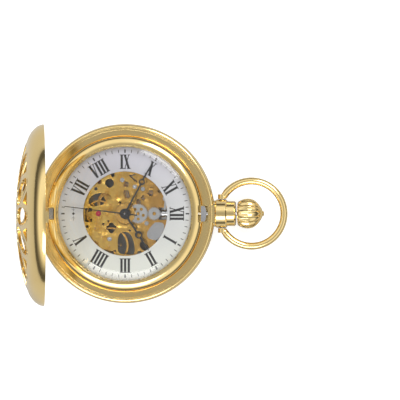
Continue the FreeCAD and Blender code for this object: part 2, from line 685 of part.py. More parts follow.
def case_clamp_screws():
    screws = [slotted_screw(clamp_screw_at(angle), 0.75, 4.25, 4.6, 0.4, 6.2) for angle in CLAMP_ANGLES]
    return Part.makeCompound(screws)


# ---- pendant, crown and bow ----
def pendant():
    edge = 0.3
    bore = SLEEVE_R + SLEEVE_RUN
    tenon_y = PENDANT_START_Y - TENON_LONG
    points = [(bore, tenon_y), (TENON_R, tenon_y), (TENON_R, PENDANT_START_Y),
              (PENDANT_FOOT_R - edge, PENDANT_START_Y), (PENDANT_FOOT_R, PENDANT_START_Y + edge),
              (PENDANT_FOOT_R, PENDANT_STEP_Y - edge), (PENDANT_FOOT_R - edge, PENDANT_STEP_Y),
              (PENDANT_NECK_R, PENDANT_STEP_Y), (PENDANT_NECK_R, PENDANT_END_Y - edge),
              (PENDANT_NECK_R - edge, PENDANT_END_Y), (bore, PENDANT_END_Y)]
    body = along_stem(turned(points))
    saddle = along_stem(ring(CENTRE, TENON_R, PENDANT_FOOT_R - edge, CASE_R - 2.5, PENDANT_START_Y))
    top = block(-FAR, FAR, 0, PENDANT_START_Y - 0.001, RIM_Z - 0.05, FAR)
    low = block(-FAR, FAR, 0, PENDANT_START_Y - 0.001, -FAR, CASE_BOTTOM_Z + 0.05)
    saddle = cut(saddle, [case_hull(), top, low])
    body = fuse([body, saddle])
    return cut(body, [bow_pin(-1), bow_pin(1)])


def bow_pin(side):
    """A pivot pin seated in the pendant's side and reaching through the bow's eye."""
    start = PENDANT_FOOT_R - 1.3
    length = 1.3 + BOW_EYE_GAP + BOW_EYE_LONG
    return Part.makeCylinder(BOW_PIN_R, length, V(side * start, BOW_PIVOT_Y, STEM_Z), V(side, 0, 0))


def bow_pins():
    return Part.makeCompound([bow_pin(-1), bow_pin(1)])


def bow_end_angle():
    """Where the ring stops, level with the outside of its eyes, in degrees below its centre line."""
    reach = PENDANT_FOOT_R + BOW_EYE_GAP + 0.04 + BOW_WIRE_R
    return math.degrees(math.acos(reach / BOW_RING_R))


def bow_side(side):
    """End of the wire and the eye it is flattened into, on one side."""
    turn = math.radians(-bow_end_angle())
    wire_end = V(side * BOW_RING_R * math.cos(turn), BOW_CENTRE_Y + BOW_RING_R * math.sin(turn), STEM_Z)
    inside = PENDANT_FOOT_R + BOW_EYE_GAP
    eye_mid = V(side * (inside + BOW_EYE_LONG / 2), BOW_PIVOT_Y, STEM_Z)
    reach = eye_mid - wire_end
    leg = Part.makeCylinder(BOW_EYE_LONG / 2, reach.Length, wire_end, reach)
    joint = Part.makeSphere(BOW_WIRE_R, wire_end)
    eye = Part.makeCylinder(BOW_EYE_R, BOW_EYE_LONG, V(side * inside, BOW_PIVOT_Y, STEM_Z), V(side, 0, 0))
    hole = Part.makeCylinder(BOW_PIN_R + BOW_RUN, 4.0, V(side * (inside - 1.0), BOW_PIVOT_Y, STEM_Z),
                             V(side, 0, 0))
    return cut(fuse([joint, leg, eye]), [hole])


def bow():
    circle = Part.Circle(V(BOW_RING_R, 0, 0), V(0, 1, 0), BOW_WIRE_R)
    section = Part.Face(Part.Wire([circle.toShape()]))
    arc = section.revolve(V(0, 0, 0), UP, 180 + 2 * bow_end_angle())
    arc.rotate(V(0, 0, 0), UP, -bow_end_angle())
    arc.translate(V(0, BOW_CENTRE_Y, STEM_Z))
    inside = PENDANT_FOOT_R + BOW_EYE_GAP
    pins = [Part.makeCylinder(BOW_PIN_R + BOW_RUN, 4.0, V(side * (inside - 1.0), BOW_PIVOT_Y, STEM_Z),
                              V(side, 0, 0))
            for side in (-1, 1)]
    return cut(fuse([arc, bow_side(-1), bow_side(1)]), pins)


def crown():
    start = CROWN_START_Y
    belly = [(0.75 * CROWN_R, start), (0.93 * CROWN_R, start + 1.2), (CROWN_R, start + 2.8),
             (0.915 * CROWN_R, start + 4.4), (0.655 * CROWN_R, start + 5.7), (0.27 * CROWN_R, start + 6.75)]
    cap = [(0.16 * CROWN_R, start + 6.9), (0.14 * CROWN_R, start + CROWN_LENGTH), (0, start + CROWN_LENGTH)]
    body = spun([(False, [(0, start), (0.3, start)]), (True, belly), (False, cap)])
    low = Part.makeCylinder(0.5, 6, V(CROWN_R + 0.12, 0, start + 2.9), V(-0.16, 0, -1))
    high = Part.makeCylinder(0.5, 6, V(CROWN_R + 0.12, 0, start + 2.9), V(-0.16, 0, 1))
    body = cut(body, spin_copies(low, CROWN_FLUTES) + spin_copies(high, CROWN_FLUTES))
    sleeve = disc(CENTRE, SLEEVE_R, SLEEVE_START_Y, start + 0.2)
    stem_hole = disc(CENTRE, STEM_R + CROWN_BORE_RUN, SLEEVE_START_Y - 1, start + CROWN_BORE_DEPTH)
    return along_stem(cut(fuse([body, sleeve]), [stem_hole]))


# ---- plates and bridges ----
def pivot_holes(z0, z1, radius, places):
    return [disc(at, radius, z0, z1) for at in places]


def rounded_window(x0, x1, y0, y1, corner):
    """An upright cutter with rounded corners through the main plate."""
    z0 = PLATE_Z0 - 0.5
    z1 = PLATE_Z1 + 0.5
    wide = block(x0 + corner, x1 - corner, y0, y1, z0, z1)
    tall = block(x0, x1, y0 + corner, y1 - corner, z0, z1)
    corners = [disc((x, y), corner, z0, z1) for x in (x0 + corner, x1 - corner) for y in (y0 + corner,
                                                                                          y1 - corner)]
    return fuse([wide, tall] + corners)


def smooth_window(points):
    """An upright cutter whose outline is one closed curve through the points."""
    curve = Part.BSplineCurve()
    curve.interpolate([V(x, y, PLATE_Z0 - 0.5) for x, y in points], PeriodicFlag=True)
    face = Part.Face(Part.Wire([curve.toShape()]))
    return face.extrude(V(0, 0, PLATE_Z1 - PLATE_Z0 + 1.0))


def lobed_window(at, offset, radius):
    """Four round lobes that meet in the middle."""
    z0 = PLATE_Z0 - 0.5
    z1 = PLATE_Z1 + 0.5
    lobes = [disc((at[0] + dx, at[1] + dy), radius, z0, z1)
             for dx, dy in ((offset, 0), (-offset, 0), (0, offset), (0, -offset))]
    return fuse(lobes)


def arc_slot(inner, outer, middle, half):
    """A slot that follows the barrel, over the coils of the mainspring."""
    z0 = PLATE_Z0 - 0.5
    z1 = PLATE_Z1 + 0.5
    corners = [BARREL]
    for angle in (middle - half, middle + half):
        turn = math.radians(angle)
        corners.append((BARREL[0] + 20 * math.cos(turn), BARREL[1] + 20 * math.sin(turn)))
    return ring(BARREL, inner, outer, z0, z1).common(prism(corners, z0, z1))


def plate_windows():
    """Openings that make the dial side of the main plate a skeleton."""
    z0 = PLATE_Z0 - 0.5
    z1 = PLATE_Z1 + 0.5
    tall = smooth_window([(-4.4, -3.9), (-5.5, -5.0), (-5.8, -6.6), (-5.3, -8.8), (-4.0, -10.2),
                          (-2.4, -10.1),
                          (-2.0, -9.1), (-2.3, -7.4), (-2.7, -6.2), (-3.8, -5.3)])
    foot = rounded_window(-1.6, 2.4, -11.4, -9.4, 0.5)
    side = smooth_window([(5.2, -0.9), (5.5, 0.9), (7.4, 2.1), (9.6, 2.5), (11.2, 2.3), (11.4, 0.2),
                          (11.0, -1.7),
                          (8.6, -2.2), (6.4, -2.0)])
    far = smooth_window([(7.5, 4.7), (8.7, 5.9), (9.8, 6.5), (10.3, 5.4), (9.6, 4.3), (8.4, 4.0)])
    crescent = smooth_window([(10.3, -2.7), (11.3, -3.4), (11.0, -5.4), (10.3, -6.5), (10.2, -5.2),
                              (10.5, -4.0)])
    upper = smooth_window([(-7.4, 7.5), (-6.0, 7.7), (-4.9, 7.4), (-5.3, 6.3), (-6.3, 5.9), (-7.2, 6.5)])
    small = smooth_window([(-3.9, 3.2), (-2.7, 3.2), (-2.5, 4.3), (-3.5, 4.3)])
    tick = fuse([bar((-10.6, 1.2), (-9.0, 3.0), 0.5, z0, z1), bar((-10.9, 2.6), (-10.6, 1.2), 0.5, z0, z1)])
    slots = [arc_slot(4.0, 5.6, -71.5, 14.0), arc_slot(4.2, 5.5, -106.0, 9.0)]
    lobed = [lobed_window((4.0, -4.0), 0.75, 0.72), lobed_window((-4.4, 5.0), 0.4, 0.4)]
    holes = [disc(at, radius, z0, z1) for at, radius in
             (((-8.5, -4.5), 1.2), ((7.4, 8.9), 0.5), ((3.0, -6.2), 0.4), ((2.1, -4.9), 0.28),
              ((-10.8, -3.6), 0.55),
              ((-8.9, -7.3), 0.6), ((-6.9, -8.3), 0.45), ((8.0, -8.1), 0.55), ((11.0, 3.9), 0.55),
              ((-6.3, 9.6), 0.55), ((3.6, -10.8), 0.4), ((-10.6, 5.4), 0.5), ((4.7, 1.2),
                                                                              0.3), ((-3.0, -1.6), 0.4))]
    outer = [ring(CENTRE, 12.6, 16.2, z0, z1).common(prism([(0, 0), clock_point(a - 11, 22),
                                                          clock_point(a + 11, 22)], z0, z1))
             for a in (95, 225, 300)]
    return [tall, foot, side, far, crescent, upper, small, tick] + slots + lobed + holes + outer


def keyless_room():
    """Slot for the winding pinion and clutch, and the stem's guide holes."""
    slot = block(-1.7, 1.7, 9.3, 13.6, PLATE_Z0 - 1, PLATE_Z1 + 1)
    pilot = along_stem(disc(CENTRE, 0.36 + STEM_RUN, 8.0, 9.4))
    guide = along_stem(disc(CENTRE, STEM_R + STEM_RUN, 13.5, PLATE_R + 1))
    return [slot, pilot, guide]


def screw_sites():
    return list(BARREL_FEET) + list(TRAIN_FEET) + [COCK_FOOT, PALLET_FOOT]


def dial_side_screw(at):
    """A short screw let into the front of the plate, its slot on the dial side."""
    body = fuse([disc(at, SCREW_R, PLATE_Z1 - 0.2, PLATE_Z1 + 0.12),
                 disc(at, 0.3, PLATE_Z0 + 0.2, PLATE_Z1 - 0.15)])
    slot = block(at[0] - 1, at[0] + 1, at[1] - 0.08, at[1] + 0.08, PLATE_Z1 - 0.02, PLATE_Z1 + 1)
    slot.rotate(V(at[0], at[1], 0), UP, 40 * at[0])
    return cut(body, [slot])


def main_plate():
    """Train jewels sit in it from behind; the fourth wheel's is set in a gold ring from the front."""
    body = disc(CENTRE, PLATE_R, PLATE_Z0, PLATE_Z1)
    screws = pivot_holes(PLATE_Z0 - 1, 6.2, 0.4, screw_sites() + [clamp_screw_at(a) for a in CLAMP_ANGLES])
    for at in DIAL_SIDE_SCREWS:
        screws += [disc(at, SCREW_R, PLATE_Z1 - 0.2, PLATE_Z1 + 1), disc(at, 0.3, PLATE_Z0 + 0.2, PLATE_Z1)]
    seats = pivot_holes(PLATE_Z0 - 1, JEWEL_Z[1], JEWEL_R, JEWELLED)
    seats += pivot_holes(JEWEL_Z[1] - 0.1, PLATE_Z1 + 1, PIVOT_R + 0.06, JEWELLED)
    seats += pivot_holes(PLATE_Z1 - 0.08, PLATE_Z1 + 1, OIL_SINK_R, JEWELLED)
    seats += pivot_holes(PLATE_Z1 - 0.45, PLATE_Z1 + 1, SETTING_R, [FOURTH])
    centre = disc(CENTRE, CENTRE_ARBOR_R + 0.08, PLATE_Z0 - 1, PLATE_Z1 + 1)
    barrel = disc(BARREL, 0.66, PLATE_Z0 - 1, PLATE_Z1 + 1)
    studs = pivot_holes(PLATE_Z0 - 1, PLATE_Z1 + 1, STUD_R + STUD_RUN, [LEVER_PIVOT, YOKE_PIVOT])
    hub_ring = ring(CENTRE, 3.0, 3.6, PLATE_Z1 - 0.1, PLATE_Z1 + 0.12)
    posts = [disc(MINUTE, 0.4, PLATE_Z1 - 0.1, 7.72), disc(SETTING, 0.45, PLATE_Z1 - 0.1, 7.6)]
    body = cut(fuse([body, hub_ring]), plate_windows() + screws + seats + studs + [centre, barrel])
    return cut(fuse([body] + posts), keyless_room())


def train_jewels():
    """Pierced jewels in the main plate and in the bridges, all alike in outline."""
    hole = PIVOT_R + PIVOT_RUN
    jewels = [ring(at, hole, JEWEL_R, JEWEL_Z[0], JEWEL_Z[1]) for at in JEWELLED]
    for at in (FOURTH, ESCAPE, BALANCE_AT):
        jewels.append(ring(at, hole, JEWEL_R, BRIDGE_JEWEL_Z[0], BRIDGE_JEWEL_Z[1]))
    jewels.append(ring(THIRD, ARBOR_R + PIVOT_RUN, JEWEL_R, BRIDGE_JEWEL_Z[0], BRIDGE_JEWEL_Z[1]))
    jewels.append(ring(PALLET, hole, 0.45, PALLET_BRIDGE_Z[0], PALLET_BRIDGE_Z[1] - 0.05))
    return Part.makeCompound(jewels)


def jewel_setting():
    """Gold ring let into the dial side of the plate round the fourth wheel's jewel, with a beaded edge."""
    collar = ring(FOURTH, JEWEL_R, SETTING_R, PLATE_Z1 - 0.45, PLATE_Z1 + 0.1)
    bead = disc((FOURTH[0] + 1.02, FOURTH[1]), 0.09, PLATE_Z1 + 0.05, PLATE_Z1 + 0.17)
    return fuse([collar] + spin_copies(bead, 16, FOURTH))


def bridge_foot(at, radius, z0):
    return disc(at, radius, z0, PLATE_Z0)


def countersinks(places, z0):
    """Holes for the bridge screws: a head seat and a clear shank hole."""
    holes = []
    for at in places:
        holes.append(disc(at, 0.8, z0 - 1, z0 + 0.45))
        holes.append(disc(at, 0.4, z0, 6))
    return holes


def barrel_bridge():
    z0 = BRIDGE_Z0
    z1 = BRIDGE_Z1
    body = [disc(BARREL, 6.9, z0, z1), disc(CROWN_WHEEL, 4.0, z0, z1),
            bar(BARREL, BARREL_FEET[0], 3.4, z0, z1), bar(CROWN_WHEEL, BARREL_FEET[1], 3.0, z0, z1),
            bar(CROWN_WHEEL, BARREL_FEET[2], 3.0, z0, z1)]
    body += [bridge_foot(at, 1.1, z1 - 0.1) for at in BARREL_FEET]
    holes = [disc(BARREL, 0.96, 0, 5), disc(CROWN_WHEEL, 2.58, 0, 5), disc(KEEPER_END, 0.4, 0, 3.2),
             disc(CLICK_PIVOT, 0.4, 0, 3.2)]
    return cut(fuse(body), holes + countersinks(BARREL_FEET, z0))


def train_bridge():
    z0 = BRIDGE_Z0
    z1 = BRIDGE_Z1
    body = [disc(CENTRE, 1.35, z0, z1), disc(THIRD, 1.2, z0, z1), disc(FOURTH, 1.3, z0, z1),
            disc(ESCAPE, 1.1, z0, z1), bar(TRAIN_FEET[2], CENTRE, 2.0, z0, z1),
            bar(CENTRE, THIRD, 1.9, z0, z1), bar(THIRD, TRAIN_FEET[0], 2.2, z0, z1),
            bar(THIRD, FOURTH, 1.9, z0, z1), bar(FOURTH, ESCAPE, 1.7, z0, z1),
            bar(FOURTH, TRAIN_FEET[1], 2.2, z0, z1)]
    body += [bridge_foot(at, 1.1, z1 - 0.1) for at in TRAIN_FEET]
    holes = [disc(CENTRE, CENTRE_ARBOR_R + CENTRE_RUN, 0, 5)]
    for at in (THIRD, FOURTH, ESCAPE):
        holes.append(disc(at, JEWEL_R, 2.6, 3.2))
        holes.append(disc(at, 0.3, 0, 5))
    return cut(fuse(body), holes + countersinks(TRAIN_FEET, z0))


def balance_cock():
    z0 = COCK_Z[0]
    z1 = COCK_Z[1]
    body = [disc(BALANCE_AT, 1.9, z0, z1), bar(BALANCE_AT, COCK_FOOT, 1.85, z0, z1),
            bridge_foot(COCK_FOOT, 0.92, z1 - 0.1)]
    stud_hole = disc(hairspring_stud_at(), 0.2, 2, 4)
    seat = disc(BALANCE_AT, JEWEL_R, 2.6, 3.2)
    hole = disc(BALANCE_AT, 0.3, 0, 5)
    arm = bar(BALANCE_AT, hairspring_stud_at(), 0.8, z0, z1)
    return cut(fuse(body + [arm]), [seat, hole, stud_hole] + countersinks([COCK_FOOT], z0))


def pallet_bridge():
    z0 = PALLET_BRIDGE_Z[0]
    z1 = PALLET_BRIDGE_Z[1]
    body = [disc(PALLET, 0.75, z0, z1), bar(PALLET, PALLET_FOOT, 1.2, z0, z1),
            bridge_foot(PALLET_FOOT, 0.8, z1 - 0.1)]
    seat = disc(PALLET, 0.45, 0, z1 - 0.05)
    hole = disc(PALLET, 0.25, 0, 6)
    return cut(fuse(body), [seat, hole, disc(PALLET_FOOT, 0.4, 0, 6)])


def bridge_screws():
    screws = [slotted_screw(at, 0.8, BRIDGE_Z0 - 0.1, BRIDGE_Z0 + 0.45, 0.4, 6.2)
              for at in list(BARREL_FEET) + list(TRAIN_FEET) + [COCK_FOOT]]
    screws.append(slotted_screw(PALLET_FOOT, 0.7, 3.95, PALLET_BRIDGE_Z[0], 0.4, 6.2))
    screws.append(slotted_screw(KEEPER_END, 0.65, 1.45, 1.7, 0.4, 3.2))
    screws += [dial_side_screw(at) for at in DIAL_SIDE_SCREWS]
    return Part.makeCompound(screws)


# ---- going barrel and winding ----
def barrel_drum():
    drum = turned([(1.0, BARREL_Z[0]), (DRUM_R, BARREL_Z[0]), (DRUM_R, BARREL_Z[1] - 0.15),
                   (DRUM_R - 0.35, BARREL_Z[1] - 0.15), (DRUM_R - 0.35, BARREL_Z[0] + 0.2),
                   (1.0, BARREL_Z[0] + 0.2)], BARREL)
    teeth = toothed_disc(BARREL, BARREL_TEETH, BARREL_MODULE, BARREL_TEETH_Z[0], BARREL_TEETH_Z[1], 0.0)
    flange = cut(teeth, [disc(BARREL, DRUM_R - 0.2, 4, 6)])
    return fuse([drum, flange])


def barrel_cover():
    """Thin lid of the barrel, pierced so the mainspring can be seen."""
    lid = ring(BARREL, 1.0, DRUM_R, BARREL_Z[1] - 0.15, BARREL_Z[1])
    hollow = ring(BARREL, 1.8, DRUM_R - 0.6, 4, 6)
    arms = []
    for index in range(5):
        angle = math.radians(18 + 72 * index)
        end = (BARREL[0] + DRUM_R * math.cos(angle), BARREL[1] + DRUM_R * math.sin(angle))
        arms.append(bar(BARREL, end, 0.8, 3, 7))
    return cut(lid, [cut(hollow, arms)])


def coil(at, inner, outer, turns, thick, z0, z1, start=0.0, steps=24):
    """A flat spiral strip: one closed outline of two smooth curves."""
    count = int(turns * steps)
    near = []
    far = []
    for index in range(count + 1):
        part = index / count
        radius = inner + (outer - inner) * part
        angle = math.radians(start) + 2 * math.pi * turns * part
        near.append(V(at[0] + (radius - thick / 2) * math.cos(angle),
                      at[1] + (radius - thick / 2) * math.sin(angle), z0))
        far.append(V(at[0] + (radius + thick / 2) * math.cos(angle),
                     at[1] + (radius + thick / 2) * math.sin(angle), z0))
    inside = Part.BSplineCurve()
    inside.interpolate(near)
    outside = Part.BSplineCurve()
    outside.interpolate(far)
    edges = [inside.toShape(), Part.makeLine(near[-1], far[-1]), outside.toShape(),
             Part.makeLine(far[0], near[0])]
    return Part.Face(Part.Wire(edges)).extrude(V(0, 0, z1 - z0))


def mainspring():
    return coil(BARREL, 1.3, DRUM_R - 0.5, 9.0, 0.16, BARREL_Z[0] + 0.3, BARREL_Z[1] - 0.25, 0.0, 16)


def barrel_arbor():
    points = [(0, 2.0), (0.55, 2.0), (0.55, 2.42), (0.9, 2.42), (0.9, 5.05), (0.6, 5.05), (0.6, 6.7),
              (0, 6.7)]
    hole = disc(BARREL, 0.35, 1, 3.2)
    return cut(turned(points, BARREL), [hole])


def ratchet_wheel():
    phase = mesh_phase(0.0, CROWN_WHEEL_TEETH, CROWN_WHEEL, RATCHET_TEETH, BARREL)
    blank = toothed_disc(BARREL, RATCHET_TEETH, WINDING_MODULE, RATCHET_Z[0], RATCHET_Z[1], phase)
    groove = ring(BARREL, 3.6, 4.0, RATCHET_Z[0] - 0.1, RATCHET_Z[0] + 0.08)
    return cut(blank, [disc(BARREL, 0.55, 0, 5), groove])


def ratchet_screw():
    return slotted_screw(BARREL, 1.5, RATCHET_Z[0] - 0.4, RATCHET_Z[0], 0.35, 3.2)


def crown_wheel():
    blank = toothed_disc(CROWN_WHEEL, CROWN_WHEEL_TEETH, WINDING_MODULE, RATCHET_Z[0], RATCHET_Z[1], 0.0)
    cup = ring(CROWN_WHEEL, 2.0, 2.5, RATCHET_Z[1] - 0.1, CROWN_CUP_TOP)
    notch = block(2.0, 3.0, -0.12, 0.12, CROWN_CUP_TOP - 0.25, CROWN_CUP_TOP + 1)
    notch.translate(V(CROWN_WHEEL[0] - 0.2, CROWN_WHEEL[1], 0))
    body = cut(fuse([blank, cup]), spin_copies(notch, CROWN_WHEEL_TEETH, CROWN_WHEEL))
    return cut(body, [disc(CROWN_WHEEL, 0.97, 0, 5)])


def crown_wheel_keeper():
    plate = bar(CROWN_WHEEL, KEEPER_END, 2.2, 1.7, 1.93)
    post = disc(CROWN_WHEEL, 0.9, 1.93, RATCHET_Z[1])
    spacer = disc(KEEPER_END, 0.7, 1.93, BRIDGE_Z0)
    return cut(fuse([plate, post, spacer]), [disc(KEEPER_END, 0.4, 0, 4)])


def click_tip():
    angle = math.radians(heading(BARREL, CLICK_PIVOT) - 28)
    reach = pitch_r(RATCHET_TEETH, WINDING_MODULE) + 0.9 * WINDING_MODULE + 0.1
    return (BARREL[0] + reach * math.cos(angle), BARREL[1] + reach * math.sin(angle))


def click():
    """The pawl of the ratchet, its nose just clear of the tooth tips."""
    tip = click_tip()
    back = towards(CLICK_PIVOT, tip, 3.2)
    away = towards(BARREL, back, math.hypot(back[0] - BARREL[0], back[1] - BARREL[1]) + 0.9)
    hub = disc(CLICK_PIVOT, 0.95, RATCHET_Z[0], RATCHET_Z[1])
    left = towards(CLICK_PIVOT, tip, 0.3)
    side = towards(CLICK_PIVOT, BARREL, 0.75)
    nose = prism([side, tip, away, towards(CLICK_PIVOT, (2 * CLICK_PIVOT[0] - side[0],
                                                        2 * CLICK_PIVOT[1] - side[1]), 0.75), left],
                 RATCHET_Z[0], RATCHET_Z[1])
    stud = disc(CLICK_PIVOT, 0.34, 1.75, 3.1)
    head = disc(CLICK_PIVOT, 0.6, 1.6, RATCHET_Z[0])
    return fuse([hub, nose, stud, head])


def click_spring():
    """A wire spring pinned to the bridge behind the click."""
    post = (-15.2, -2.4)
    tip = click_tip()
    back = towards(CLICK_PIVOT, tip, 3.2)
    rest = towards(BARREL, back, math.hypot(back[0] - BARREL[0], back[1] - BARREL[1]) + 1.2)
    bend = (-15.3, 0.6)
    return fuse([disc(post, 0.35, RATCHET_Z[0], BRIDGE_Z0), bar(post, bend, 0.2, 2.1, 2.3),
                 bar(bend, rest, 0.2, 2.1, 2.3)])


# ---- wheel train ----
def centre_wheel():
    phase = mesh_phase(0.0, BARREL_TEETH, BARREL, CENTRE_PINION_TEETH, CENTRE)
    pinion = toothed_disc(CENTRE, CENTRE_PINION_TEETH, BARREL_MODULE, CENTRE_PINION_Z[0],
                          CENTRE_PINION_Z[1], phase)
    wheel = crossed_wheel(CENTRE, CENTRE_TEETH, CENTRE_MODULE, CENTRE_WHEEL_Z[0], CENTRE_WHEEL_Z[1],
                          0.0, 1.3, 5, 0.5)
    pipe = disc(CENTRE, CENTRE_ARBOR_R, 2.5, 8.2)
    shoulder = disc(CENTRE, 0.8, 3.6, CENTRE_PINION_Z[0])
    return cut(fuse([pinion, wheel, pipe, shoulder]), [disc(CENTRE, SECONDS_ARBOR_R + CENTRE_RUN, 0, 20)])


def third_wheel():
    phase = mesh_phase(0.0, CENTRE_TEETH, CENTRE, THIRD_PINION_TEETH, THIRD)
    pinion = toothed_disc(THIRD, THIRD_PINION_TEETH, CENTRE_MODULE, THIRD_PINION_Z[0],
                          THIRD_PINION_Z[1], phase)
    wheel = crossed_wheel(THIRD, THIRD_TEETH, THIRD_MODULE, THIRD_WHEEL_Z[0], THIRD_WHEEL_Z[1], 0.0,
                          0.8, 5, 0.42)
    staff = disc(THIRD, ARBOR_R, SWEEP_Z[0] - 0.1, 5.9)
    return fuse([pinion, wheel, staff, disc(THIRD, PIVOT_R, 5.85, 6.58)])


def sweep_drive_wheel():
    wheel = crossed_wheel(THIRD, SWEEP_TEETH, SWEEP_MODULE, SWEEP_Z[0], SWEEP_Z[1], 0.0, 0.8, 5, 0.42)
    return cut(wheel, [disc(THIRD, ARBOR_R, 0, 9)])


def fourth_wheel():
    phase = mesh_phase(0.0, THIRD_TEETH, THIRD, FOURTH_PINION_TEETH, FOURTH)
    pinion = toothed_disc(FOURTH, FOURTH_PINION_TEETH, THIRD_MODULE, FOURTH_PINION_Z[0],
                          FOURTH_PINION_Z[1], phase)
    wheel = crossed_wheel(FOURTH, FOURTH_TEETH, FOURTH_MODULE, FOURTH_WHEEL_Z[0], FOURTH_WHEEL_Z[1],
                          0.0, 0.8, 5, 0.4)
    return fuse([pinion, wheel, arbor(FOURTH, ARBOR_R, 3.3, 5.9, 2.62, 6.58)])


def escape_wheel():
    """Club-shaped teeth on a light spoked wheel."""
    phase = mesh_phase(0.0, FOURTH_TEETH, FOURTH, ESCAPE_PINION_TEETH, ESCAPE)
    pinion = toothed_disc(ESCAPE, ESCAPE_PINION_TEETH, FOURTH_MODULE, ESCAPE_PINION_Z[0],
                          ESCAPE_PINION_Z[1], phase)
    points = []
    for index in range(ESCAPE_TEETH):
        base = 2 * math.pi / ESCAPE_TEETH * index
        for radius, turn in ((1.75, 0.0), (ESCAPE_TIP_R - 0.12, 0.3), (ESCAPE_TIP_R, 0.36),
                             (ESCAPE_TIP_R - 0.08, 0.42), (1.75, 0.25)):
            angle = base + turn * 0.6
            points.append((ESCAPE[0] + radius * math.cos(angle), ESCAPE[1] + radius * math.sin(angle)))
    blank = prism(points, ESCAPE_WHEEL_Z[0], ESCAPE_WHEEL_Z[1])
    hollow = ring(ESCAPE, 0.6, 1.45, 4, 6)
    arms = [bar(ESCAPE, (ESCAPE[0] + 1.5 * math.cos(a), ESCAPE[1] + 1.5 * math.sin(a)), 0.25, 3, 7)
            for a in (0, math.pi / 2, math.pi, 1.5 * math.pi)]
    wheel = cut(blank, [cut(hollow, arms)])
    return fuse([pinion, wheel, arbor(ESCAPE, 0.18, 3.3, 5.9, 2.62, 6.58)])


def pallet_frame(along, across):
    """A point set out from the pallet arbor: along is towards the balance."""
    ux, uy = towards(PALLET, BALANCE_AT, 1.0)
    ux -= PALLET[0]
    uy -= PALLET[1]
    return (PALLET[0] + ux * along - uy * across, PALLET[1] + uy * along + ux * across)


def pallet_fork():
    z0 = PALLET_Z[0]
    z1 = PALLET_Z[1]
    fork_root = pallet_frame(2.05, 0)
    left = pallet_frame(-0.75, STONE_REACH - 0.1)
    right = pallet_frame(-0.75, -STONE_REACH + 0.1)
    shoulder_l = pallet_frame(-0.1, 1.1)
    shoulder_r = pallet_frame(-0.1, -1.1)
    body = [disc(PALLET, 0.5, z0, z1), bar(PALLET, fork_root, 0.34, z0, z1),
            bar(PALLET, shoulder_l, 0.4, z0, z1),
            bar(PALLET, shoulder_r, 0.4, z0, z1), bar(shoulder_l, left, 0.4, z0, z1),
            bar(shoulder_r, right, 0.4, z0, z1), bar(fork_root, pallet_frame(2.6, 0.34), 0.16, z0, z1),
            bar(fork_root, pallet_frame(2.6, -0.34), 0.16, z0, z1)]
    body.append(arbor(PALLET, 0.16, 4.66, 5.9, PALLET_BRIDGE_Z[0] + 0.02, 6.58))
    return cut(fuse(body), [pallet_stone(1), pallet_stone(-1)])


def pallet_stone(side):
    """One pallet jewel, set in the end of its arm and just clear of the tooth tips."""
    outer = pallet_frame(-0.62, side * (STONE_REACH - 0.02))
    inner = pallet_frame(-1.15, side * (STONE_REACH - 0.12))
    return bar(outer, inner, 0.2, PALLET_Z[0] + 0.02, PALLET_Z[1] - 0.02)


def pallet_stones():
    return Part.makeCompound([pallet_stone(1), pallet_stone(-1)])


def balance_wheel():
    rim = ring(BALANCE_AT, BALANCE_R - BALANCE_RIM, BALANCE_R, BALANCE_Z[0], BALANCE_Z[1])
    arms = []
    for index in range(3):
        angle = math.radians(30 + 120 * index)
        end = (BALANCE_AT[0] + (BALANCE_R - 0.4) * math.cos(angle),
               BALANCE_AT[1] + (BALANCE_R - 0.4) * math.sin(angle))
        arms.append(bar(BALANCE_AT, end, 0.5, BALANCE_ARM_Z[0], BALANCE_ARM_Z[1]))
    hub = disc(BALANCE_AT, 0.7, BALANCE_ARM_Z[0], BALANCE_ARM_Z[1])
    return cut(fuse([rim, hub] + arms), [disc(BALANCE_AT, 0.3, 0, 9)])


def balance_staff():
    """Staff, collet, roller table and impulse pin."""
    staff = arbor(BALANCE_AT, 0.3, 3.3, 5.9, 2.62, 6.58)
    collet = disc(BALANCE_AT, 0.62, HAIRSPRING_Z[0], HAIRSPRING_Z[1])
    roller = disc(BALANCE_AT, 0.95, 4.25, 4.45)
    pin = disc(towards(BALANCE_AT, PALLET, 0.72), 0.11, 4.4, 5.0)
    return fuse([staff, collet, roller, pin])


def hairspring_stud_at():
    return (BALANCE_AT[0], BALANCE_AT[1] + HAIRSPRING_OUTER)


def hairspring():
    spiral = coil(BALANCE_AT, 0.66, HAIRSPRING_OUTER, 8.25, 0.07, HAIRSPRING_Z[0], HAIRSPRING_Z[1], 0.0, 16)
    stud = disc(hairspring_stud_at(), 0.2, COCK_Z[0] + 0.2, HAIRSPRING_Z[1])
    return fuse([spiral, stud])


def regulator():
    """Index on the cock: a split ring with a pointer."""
    collar = ring(BALANCE_AT, 0.9, 1.35, 2.15, COCK_Z[0])
    pointer = prism([(BALANCE_AT[0] + 1.1, BALANCE_AT[1] - 0.35),
                     (BALANCE_AT[0] + 1.1, BALANCE_AT[1] + 0.35),
                     (BALANCE_AT[0] + 3.9, BALANCE_AT[1] + 0.05), (BALANCE_AT[0] + 3.9,
                                                                   BALANCE_AT[1] - 0.05)],
                    2.15, 2.35)
    pointer.rotate(V(BALANCE_AT[0], BALANCE_AT[1], 0), UP, -65)
    return fuse([collar, pointer])


# ---- keyless and motion works ----
def winding_pinion():
    ring_part = toothed_disc(CENTRE, 12, 0.23, 12.0, 13.3, 90.0)
    return along_stem(cut(ring_part, [disc(CENTRE, STEM_R + PINION_RUN, 10, 15)]))


def winding_stem():
    pilot = disc(CENTRE, 0.36, 8.1, 9.5)
    end = CROWN_START_Y + CROWN_BORE_DEPTH - CROWN_PRESS - STEM_END_ROOM
    rod = disc(CENTRE, STEM_R, 9.45, end)
    groove = ring(CENTRE, STEM_R - 0.17, 1.5, 14.1, 14.6)
    return along_stem(cut(fuse([pilot, rod]), [groove]))


